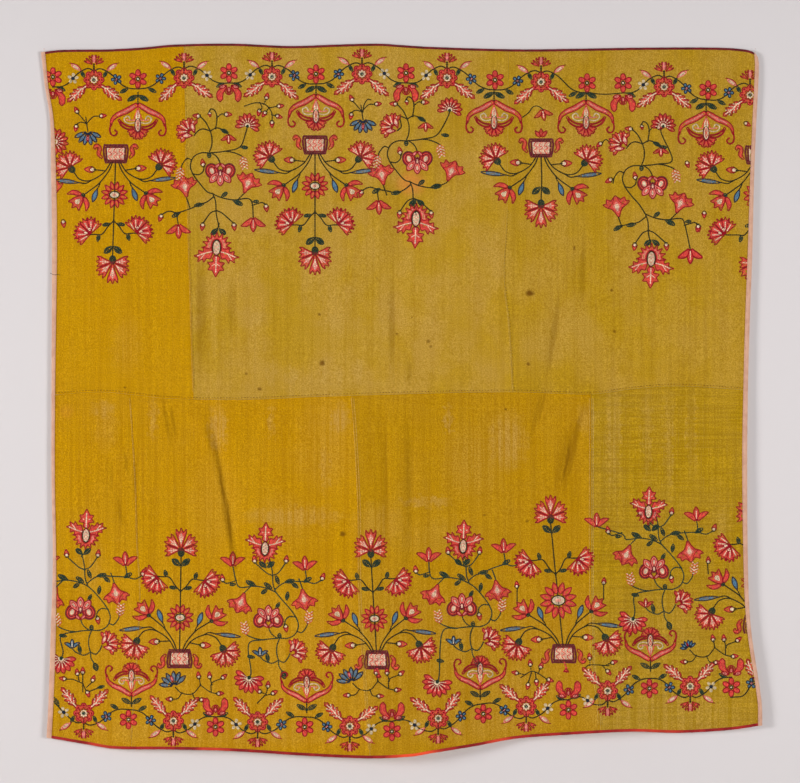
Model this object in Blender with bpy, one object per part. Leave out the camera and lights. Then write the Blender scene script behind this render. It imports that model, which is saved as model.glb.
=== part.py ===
"""Crewel coverlet hanging by its top edge: seven panels, two side tapes and two edge bindings.

Metres, +Z up. The front faces -Y. The origin is the middle of the top edge, where the cloth is held.
Every piece follows one surface, y = depth(x, z), so the pieces stay the same small gap apart.
"""
from collections import namedtuple
from math import exp, pi, sin

import bmesh
import bpy

# driving dimensions
HANG = 2.13                   # top edge to the lowest point of the hem
CLOTH = 0.0016                # thickness of the woollen panels
TAPE = 0.0011                 # thickness of one layer of tape or binding
GAP = 0.0004                  # clear space between neighbouring pieces
TOP_FOLD = 0.007              # how far the top binding reaches down each face
HEM_FOLD = 0.009              # how far the bottom binding reaches up each face
CELL = 0.044                  # widest grid column
ROWS = 11                     # grid rows in each half, between the binding rows
SWELL = 0.030                 # how far the middle of the hem stands forward
SLACK = 0.004                 # depth of the soft waves between the holding points

# outlines and seams: each row is a point, first the place along the line, then the line's value
TOP_LINE = [                  # x, z
    (-1.077, -0.022), (-1.020, -0.015), (-0.870, -0.013), (-0.765, -0.007), (-0.680, 0.001),
    (-0.500, 0.004), (-0.330, -0.003), (-0.170, 0.002), (-0.060, 0.004), (0.000, 0.000),
    (0.100, -0.006), (0.350, -0.013), (0.550, -0.011), (0.720, -0.008), (0.950, -0.008),
    (1.030, -0.013), (1.062, -0.022), (1.074, -0.036)]
MIDDLE_SEAM = [               # x, z
    (-1.046, -1.050), (-0.897, -1.041), (-0.792, -1.050), (-0.699, -1.060), (-0.480, -1.064),
    (-0.252, -1.055), (0.120, -1.044), (0.348, -1.041), (0.576, -1.047), (0.696, -1.032),
    (0.828, -1.023), (1.044, -1.035)]
HEM_LINE = [                  # x, z
    (-1.060, -2.077), (-0.924, -2.100), (-0.855, -2.110), (-0.684, -2.111), (-0.513, -2.115),
    (-0.300, -2.128), (-0.093, -2.136), (0.036, -2.130), (0.090, -2.121), (0.228, -2.100),
    (0.345, -2.080), (0.516, -2.066), (0.687, -2.058), (0.834, -2.063), (0.984, -2.055),
    (1.086, -2.040)]
LEFT_EDGE = [                 # z, outer x, width of the tape
    (-0.021, -1.077, 0.012), (-0.126, -1.065, 0.010), (-0.219, -1.050, 0.010),
    (-0.351, -1.047, 0.014), (-0.585, -1.044, 0.015), (-1.005, -1.045, 0.011),
    (-1.300, -1.045, 0.010), (-1.545, -1.041, 0.010), (-1.758, -1.047, 0.015),
    (-1.971, -1.054, 0.015), (-2.079, -1.060, 0.015)]
RIGHT_EDGE = [                # z, outer x, width of the tape
    (-0.033, 1.073, 0.010), (-0.060, 1.077, 0.012), (-0.255, 1.068, 0.012),
    (-0.405, 1.062, 0.012), (-0.645, 1.056, 0.014), (-0.795, 1.050, 0.014),
    (-1.005, 1.044, 0.014), (-1.260, 1.041, 0.015), (-1.605, 1.044, 0.013),
    (-1.758, 1.053, 0.012), (-1.971, 1.084, 0.012), (-2.040, 1.086, 0.013)]
UPPER_SEAMS = [               # z, x
    [(0.000, -0.648), (-0.156, -0.645), (-0.600, -0.632), (-1.050, -0.618)],
    [(0.000, 0.325), (-0.510, 0.321), (-0.690, 0.312), (-0.825, 0.327), (-1.050, 0.341)]]
LOWER_SEAMS = [               # z, x
    [(-1.050, -0.808), (-1.305, -0.792), (-1.485, -0.786), (-1.665, -0.777), (-2.110, -0.805)],
    [(-1.050, -0.144), (-1.155, -0.135), (-1.395, -0.123), (-1.665, -0.120), (-2.136, -0.089)],
    [(-1.050, 0.573), (-1.845, 0.576), (-1.965, 0.594), (-2.066, 0.600)]]

# main folds: each runs from its top point to its low point, bowed sideways by bow in its middle;
# lift is how far it stands forward, and a trough has a negative lift; those that end at -2.30
# run off the hem
Fold = namedtuple("Fold", "x_top z_top x_low z_low bow width lift")
FOLDS = [
    Fold(-0.585, -0.98, -0.492, -1.56, 0.006, 0.030, -0.0060),
    Fold(-0.530, -1.00, -0.430, -1.60, 0.004, 0.045, 0.0050),
    Fold(0.549, -1.06, 0.480, -1.36, -0.010, 0.032, -0.0080),
    Fold(0.600, -1.02, 0.545, -1.42, -0.006, 0.040, 0.0060),
    Fold(0.440, -0.98, 0.385, -1.22, 0.000, 0.036, -0.0045),
    Fold(-0.048, -1.06, -0.046, -1.60, 0.000, 0.034, -0.0040),
    Fold(0.030, -1.06, 0.028, -1.62, 0.000, 0.034, -0.0040),
    Fold(-0.010, -1.04, -0.008, -1.66, 0.000, 0.036, 0.0045),
    Fold(-0.024, -0.62, -0.020, -1.02, 0.000, 0.045, -0.0040),
    Fold(0.552, -0.50, 0.540, -0.84, 0.004, 0.040, -0.0045),
    Fold(0.465, -0.70, 0.444, -1.02, 0.012, 0.036, -0.0045),
    Fold(-0.590, -0.55, -0.585, -1.02, 0.000, 0.045, -0.0040),
    Fold(1.000, -0.03, 1.005, -0.30, 0.000, 0.040, -0.0040),
    Fold(-0.820, -0.10, -0.840, -0.90, 0.000, 0.110, 0.0060),
    Fold(0.130, -0.06, 0.150, -0.80, 0.000, 0.120, 0.0060),
    Fold(0.760, -0.06, 0.800, -0.95, 0.000, 0.120, 0.0070),
    Fold(-0.700, -1.40, -0.650, -2.30, 0.000, 0.110, 0.0110),
    Fold(-0.930, -1.50, -0.955, -2.30, 0.000, 0.080, -0.0070),
    Fold(-0.400, -1.60, -0.374, -2.30, 0.000, 0.100, -0.0080),
    Fold(0.330, -1.50, 0.370, -2.30, 0.000, 0.110, -0.0100),
    Fold(0.620, -1.45, 0.673, -2.30, 0.000, 0.110, 0.0110),
    Fold(0.920, -1.50, 0.948, -2.30, 0.000, 0.090, -0.0080)]
FOLD_FADE = 0.15              # length over which a fold dies out at each end

COLOURS = {                   # base colour of each kind of piece, linear
    "golden": (0.58, 0.32, 0.020, 1.0),
    "mustard": (0.52, 0.34, 0.055, 1.0),
    "rose_tape": (0.66, 0.36, 0.30, 1.0),
    "crimson": (0.22, 0.012, 0.016, 1.0),
    "vermilion": (0.55, 0.07, 0.035, 1.0)}


def smooth_between(table, place, column=1):
    """Value of a table column at a place along its first column, on a smooth curve."""
    rows = sorted(table)
    if place <= rows[0][0]:
        return rows[0][column]
    if place >= rows[-1][0]:
        return rows[-1][column]
    i = max(k for k in range(len(rows) - 1) if rows[k][0] <= place)
    low, high = rows[i], rows[i + 1]
    step = high[0] - low[0]
    t = (place - low[0]) / step

    def slope(k):
        if k == 0 or k == len(rows) - 1:
            return (high[column] - low[column]) / step
        before, after = rows[k - 1], rows[k + 1]
        return (after[column] - before[column]) / (after[0] - before[0])

    rise = t * t * (3 - 2 * t)
    return (low[column] * (1 - rise) + high[column] * rise
            + slope(i) * step * t * (1 - t) ** 2 - slope(i + 1) * step * t * t * (1 - t))


def fade(distance):
    """0 outside a fold's end, 1 well inside it."""
    t = min(max(distance / FOLD_FADE, 0.0), 1.0)
    return t * t * (3 - 2 * t)


def depth(x, z):
    """How the cloth hangs: y of its middle surface. Forward is negative."""
    drop = min(max(-z / HANG, 0.0), 1.0)
    forward = SWELL * drop ** 2 * exp(-((x + 0.05) / 0.62) ** 2)
    forward += SLACK * drop * sin(2 * pi * (x / 0.47 + 0.15)) + 0.008 * drop
    for fold in FOLDS:
        t = (fold.z_top - z) / (fold.z_top - fold.z_low)
        if not 0.0 < t < 1.0:
            continue
        line = fold.x_top + (fold.x_low - fold.x_top) * t + fold.bow * sin(pi * t)
        ends = fade(fold.z_top - z) * fade(z - fold.z_low)
        forward += fold.lift * ends * exp(-((x - line) / fold.width) ** 2)
    return -forward


def edge_lines(seams):
    """Lines that a half's grid columns keep to, from left to right."""
    def left_outer(z):
        return smooth_between(LEFT_EDGE, z)

    def left_inner(z):
        return smooth_between(LEFT_EDGE, z) + smooth_between(LEFT_EDGE, z, 2)

    def right_inner(z):
        return smooth_between(RIGHT_EDGE, z) - smooth_between(RIGHT_EDGE, z, 2)

    def right_outer(z):
        return smooth_between(RIGHT_EDGE, z)

    middle = [lambda z, seam=seam: smooth_between(seam, z) for seam in seams]
    return [left_outer, left_inner] + middle + [right_inner, right_outer]


UPPER_LINES = edge_lines(UPPER_SEAMS)
LOWER_LINES = edge_lines(LOWER_SEAMS)
SEAM_LEVEL = -1.050           # height at which both halves' columns are laid out


def column_places():
    """x of every grid column at the middle seam, with a column on each edge and seam line."""
    knots = sorted({round(line(SEAM_LEVEL), 5) for line in UPPER_LINES + LOWER_LINES})
    places = [knots[0]]
    for low, high in zip(knots, knots[1:]):
        count = max(1, round((high - low) / CELL))
        places += [low + (high - low) * k / count for k in range(1, count + 1)]
    return places


COLUMNS = column_places()


def column_x(place, z, lines):
    """Where a column laid out at the middle seam has moved to at height z."""
    here = [line(SEAM_LEVEL) for line in lines]
    there = [line(z) for line in lines]
    i = max(k for k in range(len(here) - 1) if here[k] <= place + 1e-4)
    t = (place - here[i]) / (here[i + 1] - here[i])
    return there[i] + (there[i + 1] - there[i]) * t


def node(place, row, upper):
    """x and z of a grid node. Rows run down, from 0 at a half's upper edge."""
    lines = UPPER_LINES if upper else LOWER_LINES
    x = place
    z = SEAM_LEVEL
    for _ in range(4):
        seam = smooth_between(MIDDLE_SEAM, x)
        if upper:
            top, low = smooth_between(TOP_LINE, x), seam
            steps = [0.0, TOP_FOLD] + [TOP_FOLD + (top - low - TOP_FOLD) * (k + 1) / ROWS
                                       for k in range(ROWS)]
        else:
            top, low = seam, smooth_between(HEM_LINE, x)
            steps = [(top - low - HEM_FOLD) * k / ROWS for k in range(ROWS + 1)] + [top - low]
        z = top - steps[row]
        x = column_x(place, z, lines)
    return x, z


LAST_ROW = ROWS + 1


def cloth_material(name, roughness):
    """A plain woollen material in one of the coverlet's colours."""
    material = bpy.data.materials.get(name) or bpy.data.materials.new(name)
    material.use_nodes = True
    shader = material.node_tree.nodes["Principled BSDF"]
    shader.inputs["Base Color"].default_value = COLOURS[name]
    shader.inputs["Roughness"].default_value = roughness
    shader.inputs["Metallic"].default_value = 0.0
    return material


def add_solid(name, bm, colour):
    """Turn a closed bmesh into a named object with its faces pointing out."""
    bmesh.ops.recalc_face_normals(bm, faces=bm.faces)
    if bm.calc_volume(signed=True) < 0:
        bmesh.ops.reverse_faces(bm, faces=bm.faces)
    mesh = bpy.data.meshes.new(name)
    bm.to_mesh(mesh)
    bm.free()
    mesh.materials.append(cloth_material(colour, 0.9))
    mesh.shade_smooth()
    mesh.set_sharp_from_angle(angle=0.6)
    solid = bpy.data.objects.new(name, mesh)
    bpy.context.collection.objects.link(solid)
    return solid


def add_panel(name, first, last, upper, colour):
    """One woven panel between two seam or edge lines: a closed sheet on the hanging surface."""
    lines = UPPER_LINES if upper else LOWER_LINES
    ends = [round(lines[k](SEAM_LEVEL), 5) for k in (first, last)]
    places = [p for p in COLUMNS if ends[0] - 1e-4 <= p <= ends[1] + 1e-4]
    wall = TAPE + GAP         # the panel's edge sits inside its tape or binding
    bm = bmesh.new()
    faces = []                # front grid, then back grid
    for side in (-1, 1):
        grid = []
        for k in range(LAST_ROW + 1):
            line = []
            for place in places:
                x, z = node(place, k, upper)
                y = depth(x, z) + side * CLOTH / 2
                if place == places[0]:
                    x += wall if first == 0 else GAP / 2
                if place == places[-1]:
                    x -= wall if last == len(lines) - 1 else GAP / 2
                if k == 0:
                    z -= wall if upper else GAP / 2
                if k == LAST_ROW:
                    z += GAP / 2 if upper else wall
                line.append(bm.verts.new((x, y, z)))
            grid.append(line)
        faces.append(grid)
    front, back = faces
    for grid in faces:
        for above, below in zip(grid, grid[1:]):
            for i in range(len(above) - 1):
                bm.faces.new((above[i], above[i + 1], below[i + 1], below[i]))
    rims = [(front[0], back[0]), (front[-1], back[-1]),
            ([row[0] for row in front], [row[0] for row in back]),
            ([row[-1] for row in front], [row[-1] for row in back])]
    for near, far in rims:
        for i in range(len(near) - 1):
            bm.faces.new((near[i], near[i + 1], far[i + 1], far[i]))
    return add_solid(name, bm, colour)


def add_folded_strip(name, stations, colour):
    """A tape folded over an edge. Each station holds the fold's outer and inner point (x, z)
    and the unit step outwards, and the strip runs from station to station."""
    inside = CLOTH / 2 + GAP
    outside = inside + TAPE
    bm = bmesh.new()
    rings = []
    for edge, inner, out in stations:
        y_edge = depth(*edge)
        y_inner = depth(*inner)
        wall = (edge[0] - out[0] * TAPE, edge[1] - out[1] * TAPE)
        ring = [(inner, y_inner - outside), (edge, y_edge - outside),
                (edge, y_edge + outside), (inner, y_inner + outside),
                (inner, y_inner + inside), (wall, y_edge + inside),
                (wall, y_edge - inside), (inner, y_inner - inside)]
        rings.append([bm.verts.new((p[0], y, p[1])) for p, y in ring])
    count = len(rings[0])
    for near, far in zip(rings, rings[1:]):
        for i in range(count):
            j = (i + 1) % count
            bm.faces.new((near[i], near[j], far[j], far[i]))
    for ring in (rings[0], rings[-1]):
        for quad in ((0, 1, 6, 7), (1, 2, 5, 6), (2, 3, 4, 5)):
            bm.faces.new([ring[i] for i in quad])
    return add_solid(name, bm, colour)


def side_stations(edge_place, inner_place, out):
    """Stations of a side tape, from the top corner to the bottom corner."""
    stations = []
    for upper in (True, False):
        for k in range(LAST_ROW + 1):
            if not upper and k == 0:
                continue
            stations.append((node(edge_place, k, upper), node(inner_place, k, upper), (out, 0)))
    return stations


def end_stations(upper):
    """Stations of the top or bottom binding, between the side tapes."""
    places = COLUMNS[1:-1]
    edge_row, inner_row, out = (0, 1, 1) if upper else (LAST_ROW, LAST_ROW - 1, -1)
    stations = []
    for place in places:
        edge, inner = node(place, edge_row, upper), node(place, inner_row, upper)
        step = GAP if place == places[0] else -GAP if place == places[-1] else 0.0
        stations.append(((edge[0] + step, edge[1]), (inner[0] + step, inner[1]), (0, out)))
    return stations


for old in list(bpy.data.objects):
    bpy.data.objects.remove(old, do_unlink=True)

add_panel("upper_left_panel", 0, 2, True, "golden")
add_panel("upper_middle_panel", 2, 3, True, "mustard")
add_panel("upper_right_panel", 3, 5, True, "mustard")
add_panel("lower_left_panel", 0, 2, False, "golden")
add_panel("lower_mid_left_panel", 2, 3, False, "golden")
add_panel("lower_mid_right_panel", 3, 4, False, "golden")
add_panel("lower_right_panel", 4, 6, False, "mustard")
add_folded_strip("left_tape", side_stations(COLUMNS[0], COLUMNS[1], -1), "rose_tape")
add_folded_strip("right_tape", side_stations(COLUMNS[-1], COLUMNS[-2], 1), "rose_tape")
add_folded_strip("top_binding", end_stations(True), "crimson")
add_folded_strip("bottom_binding", end_stations(False), "vermilion")
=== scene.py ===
# Crewel coverlet: seven wool panels, two side tapes and two bindings, worked in crewel yarn.
# Metres, +Z up, the front faces -Y, and the origin is the middle of the top edge.
from collections import defaultdict, namedtuple
from math import atan2, cos, degrees, pi, radians, sin

import bmesh
import bpy
import numpy as np
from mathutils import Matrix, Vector


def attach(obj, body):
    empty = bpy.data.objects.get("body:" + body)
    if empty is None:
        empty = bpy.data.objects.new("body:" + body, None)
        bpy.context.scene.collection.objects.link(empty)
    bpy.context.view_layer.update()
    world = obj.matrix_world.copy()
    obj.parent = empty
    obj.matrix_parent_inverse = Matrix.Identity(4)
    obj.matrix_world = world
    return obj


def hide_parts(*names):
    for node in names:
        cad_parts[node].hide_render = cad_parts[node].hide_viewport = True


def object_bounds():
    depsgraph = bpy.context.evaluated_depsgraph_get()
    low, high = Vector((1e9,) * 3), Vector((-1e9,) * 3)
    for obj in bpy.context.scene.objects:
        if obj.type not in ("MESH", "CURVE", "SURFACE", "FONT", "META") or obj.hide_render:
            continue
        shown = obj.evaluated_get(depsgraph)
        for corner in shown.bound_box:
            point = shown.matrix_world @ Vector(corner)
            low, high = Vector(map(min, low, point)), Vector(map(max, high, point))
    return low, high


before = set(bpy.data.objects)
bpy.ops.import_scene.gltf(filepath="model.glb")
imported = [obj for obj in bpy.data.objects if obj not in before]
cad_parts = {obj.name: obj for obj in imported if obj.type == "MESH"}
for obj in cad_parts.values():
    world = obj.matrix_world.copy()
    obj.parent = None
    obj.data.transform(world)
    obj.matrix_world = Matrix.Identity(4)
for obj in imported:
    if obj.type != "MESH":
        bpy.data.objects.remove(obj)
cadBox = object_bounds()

mm = 0.001
Fold = namedtuple("Fold", "xTop zTop xLow zLow bow width lift")


def metres(rows):
    # a table given in millimetres
    return [tuple(v / 1000 for v in row) for row in rows]


def foldTable(rows):
    # folds in millimetres, except the lift towards the front, which is in tenths of one
    return [Fold(*(v / 1000 for v in row[:-1]), row[-1] / 10000) for row in rows]


hanging = {
    "height": 2.13,            # top edge to the lowest point of the hem
    "cloth": 0.0016,           # thickness of the panels
    "tape": 0.0011,            # thickness of one layer of tape or binding
    "gap": 0.0004,             # clear space between neighbouring pieces
    "topFold": 0.007,          # reach of the top binding down each face
    "hemFold": 0.009,          # reach of the bottom binding up each face
    "swell": 0.030,            # how far the hem stands forward near its middle
    "swellAt": -0.05,
    "swellWidth": 0.62,
    "lean": 0.008,             # how far the whole hem stands forward
    "slack": 0.004,            # soft waves between the holding points
    "slackPitch": 0.47,
    "foldFade": 0.15,          # length over which a fold dies out at its ends
    "creaseFade": 0.05,
    "cockle": 0.0004,          # small unevenness of the old cloth, and its waves a metre
    "cockleAcross": 61, "cockleDown": 23,
    "column": 0.0060,          # widest grid column
    "rows": 86,                # grid rows in each half
}

topLine = metres([   # x, z
    (-1077, -22), (-1020, -15), (-870, -13), (-765, -7), (-680, 1), (-500, 4), (-330, -3), (-170, 2),
    (-60, 4), (0, 0), (100, -6), (350, -13), (550, -11), (720, -8), (950, -8), (1030, -13), (1062, -22),
    (1074, -36)])
middleSeam = metres([   # x, z
    (-1046, -1050), (-897, -1041), (-792, -1050), (-699, -1060), (-480, -1064), (-252, -1055),
    (120, -1044), (348, -1041), (576, -1047), (696, -1032), (828, -1023), (1044, -1035)])
hemLine = metres([   # x, z
    (-1060, -2077), (-924, -2100), (-855, -2110), (-684, -2111), (-513, -2115), (-300, -2128),
    (-93, -2136), (36, -2130), (90, -2121), (228, -2100), (345, -2080), (516, -2066), (687, -2058),
    (834, -2063), (984, -2055), (1086, -2040)])
leftEdge = metres([   # z, outer x, width of the tape
    (-21, -1077, 12), (-126, -1065, 10), (-219, -1050, 10), (-351, -1047, 14), (-585, -1044, 15),
    (-1005, -1045, 11), (-1300, -1045, 10), (-1545, -1041, 10), (-1758, -1047, 15), (-1971, -1054, 15),
    (-2079, -1060, 15)])
rightEdge = metres([   # z, outer x, width of the tape
    (-33, 1073, 10), (-60, 1077, 12), (-255, 1068, 12), (-405, 1062, 12), (-645, 1056, 14),
    (-795, 1050, 14), (-1005, 1044, 14), (-1260, 1041, 15), (-1605, 1044, 13), (-1758, 1053, 12),
    (-1971, 1084, 12), (-2040, 1086, 13)])
upperSeams = [   # z, x
    metres([(0, -648), (-156, -645), (-600, -632), (-1050, -618)]),
    metres([(0, 325), (-510, 321), (-690, 312), (-825, 327), (-1050, 341)])]
lowerSeams = [   # z, x
    metres([(-1050, -808), (-1305, -792), (-1485, -786), (-1665, -777), (-2110, -805)]),
    metres([(-1050, -144), (-1155, -135), (-1395, -123), (-1665, -120), (-2136, -89)]),
    metres([(-1050, 573), (-1845, 576), (-1965, 594), (-2066, 600)])]

# main folds as in the CAD; those that end at -2300 run off the hem
mainFolds = foldTable([
    (-585, -980, -492, -1560, 6, 30, -60), (-530, -1000, -430, -1600, 4, 45, 50),
    (549, -1060, 480, -1360, -10, 32, -80), (600, -1020, 545, -1420, -6, 40, 60),
    (440, -980, 385, -1220, 0, 36, -45), (-48, -1060, -46, -1600, 0, 34, -40),
    (30, -1060, 28, -1620, 0, 34, -40), (-10, -1040, -8, -1660, 0, 36, 45),
    (-24, -620, -20, -1020, 0, 45, -40), (552, -500, 540, -840, 4, 40, -45),
    (465, -700, 444, -1020, 12, 36, -45), (-590, -550, -585, -1020, 0, 45, -40),
    (1000, -30, 1005, -300, 0, 40, -40), (-820, -100, -840, -900, 0, 110, 60),
    (130, -60, 150, -800, 0, 120, 60), (760, -60, 800, -950, 0, 120, 70),
    (-700, -1400, -650, -2300, 0, 110, 110), (-930, -1500, -955, -2300, 0, 80, -70),
    (-400, -1600, -374, -2300, 0, 100, -80), (330, -1500, 370, -2300, 0, 110, -100),
    (620, -1450, 673, -2300, 0, 110, 110), (920, -1500, 948, -2300, 0, 90, -80)])

# finer creases and puckers that only the looks need, laid on the same surface
fineCreases = foldTable([
    (-578, -1120, -483, -1600, 16, 12, -58), (-600, -1100, -505, -1600, 16, 20, 50),
    (-695, -1090, -668, -1200, 0, 11, -34), (-660, -1080, -580, -1340, 6, 30, -34),
    (-866, -1220, -860, -1360, 0, 12, -30), (-844, -1330, -818, -1460, 0, 12, -30),
    (-806, -1090, -799, -1200, 0, 10, -20), (548, -1090, 472, -1360, -12, 11, -85),
    (570, -1070, 490, -1400, -12, 22, 60), (470, -1360, 455, -1620, 0, 22, -40),
    (438, -980, 387, -1220, 0, 14, -36), (-54, -1080, -46, -1660, 0, 16, -46),
    (30, -1100, 26, -1600, 0, 16, -30), (474, -700, 414, -1060, 24, 22, -34),
    (555, -500, 530, -740, 4, 24, -26), (-520, -620, -500, -1020, 0, 22, -30),
    (-28, -660, -20, -1030, 0, 24, -30), (-100, -1780, -130, -1980, 10, 12, -34),
    (-68, -1680, -85, -1900, 8, 12, -34), (-135, -1840, -105, -2060, 0, 12, -30),
    (-700, -1760, -680, -1880, 6, 12, -34), (-672, -1800, -655, -1920, 4, 12, -30),
    (590, -1660, 612, -1980, 4, 12, -34), (630, -1700, 640, -1960, 0, 12, -28),
    (1000, -50, 1005, -270, 0, 14, -30)])


def smoothBetween(table, places, column=1):
    # value of a table column along its first column, on a smooth curve, for many places at once
    rows = sorted(table)
    at = np.array([row[0] for row in rows], float)
    value = np.array([row[column] for row in rows], float)
    places = np.clip(np.asarray(places, float), at[0], at[-1])
    i = np.clip(np.searchsorted(at, places, side="right") - 1, 0, len(rows) - 2)
    step = at[i + 1] - at[i]
    t = (places - at[i]) / step

    def slope(k, low):
        inner = (k > 0) & (k < len(rows) - 1)
        before, after = np.maximum(k - 1, 0), np.minimum(k + 1, len(rows) - 1)
        ends = (value[low + 1] - value[low]) / (at[low + 1] - at[low])
        across = (value[after] - value[before]) / (at[after] - at[before])
        return np.where(inner, across, ends)

    rise = t * t * (3 - 2 * t)
    return (value[i] * (1 - rise) + value[i + 1] * rise
            + slope(i, i) * step * t * (1 - t) ** 2 - slope(i + 1, i) * step * t * t * (1 - t))


def foldLift(folds, x, z, fadeLength):
    # how far the folds bring the cloth forward
    forward = np.zeros(np.broadcast(x, z).shape)
    for f in folds:
        t = (f.zTop - z) / (f.zTop - f.zLow)
        line = f.xTop + (f.xLow - f.xTop) * t + f.bow * np.sin(pi * np.clip(t, 0, 1))
        top = np.clip((f.zTop - z) / fadeLength, 0, 1)
        low = np.clip((z - f.zLow) / fadeLength, 0, 1)
        ends = top * top * (3 - 2 * top) * low * low * (3 - 2 * low)
        forward += f.lift * ends * np.exp(-((x - line) / f.width) ** 2)
    return forward


def depth(x, z):
    # y of the cloth's middle surface; forward is negative
    x, z = np.asarray(x, float), np.asarray(z, float)
    drop = np.clip(-z / hanging["height"], 0, 1)
    bulge = np.exp(-((x - hanging["swellAt"]) / hanging["swellWidth"]) ** 2)
    waves = np.sin(2 * pi * (x / hanging["slackPitch"] + 0.15))
    forward = hanging["swell"] * drop ** 2 * bulge
    forward += hanging["slack"] * drop * waves + hanging["lean"] * drop
    forward += foldLift(mainFolds, x, z, hanging["foldFade"])
    forward += foldLift(fineCreases, x, z, hanging["creaseFade"])
    across = np.sin(hanging["cockleAcross"] * x + 3 * np.sin(7 * z))
    down = np.sin(hanging["cockleDown"] * z + 2 * np.sin(9 * x))
    return -(forward + hanging["cockle"] * across * down)


def edgeLines(seams):
    # the upright lines of a half: outer and inner edge of a tape, the seams, and the other tape
    def tapeLine(edge, share):
        return lambda z: smoothBetween(edge, z) + share * smoothBetween(edge, z, 2)

    middle = [lambda z, seam=seam: smoothBetween(seam, z) for seam in seams]
    return [tapeLine(leftEdge, 0), tapeLine(leftEdge, 1), *middle, tapeLine(rightEdge, -1),
            tapeLine(rightEdge, 0)]


upperLines = edgeLines(upperSeams)
lowerLines = edgeLines(lowerSeams)
seamLevel = -1.050


def columnPlaces():
    knots = sorted({round(float(line(seamLevel)), 5) for line in upperLines + lowerLines})
    places = [knots[0]]
    for low, high in zip(knots, knots[1:]):
        count = max(1, round((high - low) / hanging["column"]))
        places += [low + (high - low) * k / count for k in range(1, count + 1)]
    return np.array(places)


columns = columnPlaces()


def gridNodes(places, upper):
    # x and z of every node of a half's grid: one row of the array for each row of cloth
    lines = upperLines if upper else lowerLines
    here = np.array([float(line(seamLevel)) for line in lines])
    i = np.clip(np.searchsorted(here, places + 1e-4, side="right") - 1, 0, len(lines) - 2)
    share = (places - here[i]) / (here[i + 1] - here[i])
    rows = hanging["rows"]
    fold = hanging["topFold" if upper else "hemFold"]
    steps = np.insert(np.arange(rows + 1) / rows, 0 if upper else rows + 1, 0.0)[:, None]
    edgeRow = np.arange(rows + 2)[:, None] == (0 if upper else rows + 1)
    x = np.repeat(places[None, :], rows + 2, axis=0)
    for _ in range(4):         # the lines lean, so a node's x and z are found in a few rounds
        seam = smoothBetween(middleSeam, x)
        if upper:
            top = smoothBetween(topLine, x)
            z = top - np.where(edgeRow, 0.0, fold + (top - seam - fold) * steps)
        else:
            low = seam - smoothBetween(hemLine, x)
            z = seam - np.where(edgeRow, low, (low - fold) * steps)
        there = np.stack([line(z) for line in lines])
        left, right = (np.take_along_axis(there, k[None, None, :].repeat(rows + 2, 1), 0)[0]
                       for k in (i, i + 1))
        x = left + (right - left) * share[None, :]
    return x, z


def addObject(name, data):
    thing = bpy.data.objects.new(name, data)
    bpy.context.collection.objects.link(thing)
    return thing


def meshObject(name, points, faces, material=None):
    # a closed mesh that faces outward; with a material it is smooth but for its sharp edges
    mesh = bpy.data.meshes.new(name)
    mesh.from_pydata([tuple(p) for p in points], [], faces)
    mesh.validate()
    bm = bmesh.new()
    bm.from_mesh(mesh)
    bmesh.ops.recalc_face_normals(bm, faces=bm.faces)
    if bm.calc_volume(signed=True) < 0:
        bmesh.ops.reverse_faces(bm, faces=bm.faces)
    bm.to_mesh(mesh)
    bm.free()
    if material:
        mesh.materials.append(material)
        mesh.shade_smooth()
        mesh.set_sharp_from_angle(angle=0.9)
    return addObject(name, mesh)


def gridFaces(rows, count, start):
    corners = [start + k * count + i for k in range(rows - 1) for i in range(count - 1)]
    return [(a, a + 1, a + count + 1, a + count) for a in corners]


seams = {
    "ridge": 0.0011,           # height of the turned edge, and how far under the middle seam
    "ridgeAt": 0.0035, "ridgeWidth": 0.0045, "ridgeWobble": 0.35,
    "upright": 0.0006,         # height of the turned edges beside the upright seams
    "uprightAt": 0.003, "uprightWidth": 0.0030,
    "sink": 0.0006,            # how far a seam draws the cloth in
    "sinkAt": 0.013, "sinkWidth": 0.0040,
    "stitchWidth": 0.0016,     # width of the furrow that an upright seam's stitches pull
}


def seamRelief(x, z, upper, edges):
    # how far the front stands out beside the seams: a fold-over ridge under the middle seam
    relief = np.zeros(x.shape)
    below = smoothBetween(middleSeam, x) - z
    if upper:
        relief -= seams["sink"] * np.exp(-(below / seams["sinkWidth"]) ** 2)
    else:
        wobble = 1 + seams["ridgeWobble"] * np.sin(x * 190 + 2 * np.sin(x * 37))
        ridge = np.exp(-((below - seams["ridgeAt"]) / seams["ridgeWidth"]) ** 2)
        relief += seams["ridge"] * wobble * ridge
        relief -= seams["sink"] * np.exp(-((below - seams["sinkAt"]) / seams["sinkWidth"]) ** 2)
    for seam, side in edges:
        away = (x - smoothBetween(seam, z)) * side
        turned = np.exp(-((away - seams["uprightAt"]) / seams["uprightWidth"]) ** 2)
        relief += seams["upright"] * turned
        relief -= seams["sink"] * np.exp(-(away / seams["stitchWidth"]) ** 2)
    return relief


def columnsBetween(upper, first, last):
    # which grid columns lie between two upright lines of a half
    lines = upperLines if upper else lowerLines
    low, high = (float(lines[k](seamLevel)) for k in (first, last))
    return (columns >= low - 1e-4) & (columns <= high + 1e-4)


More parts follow.
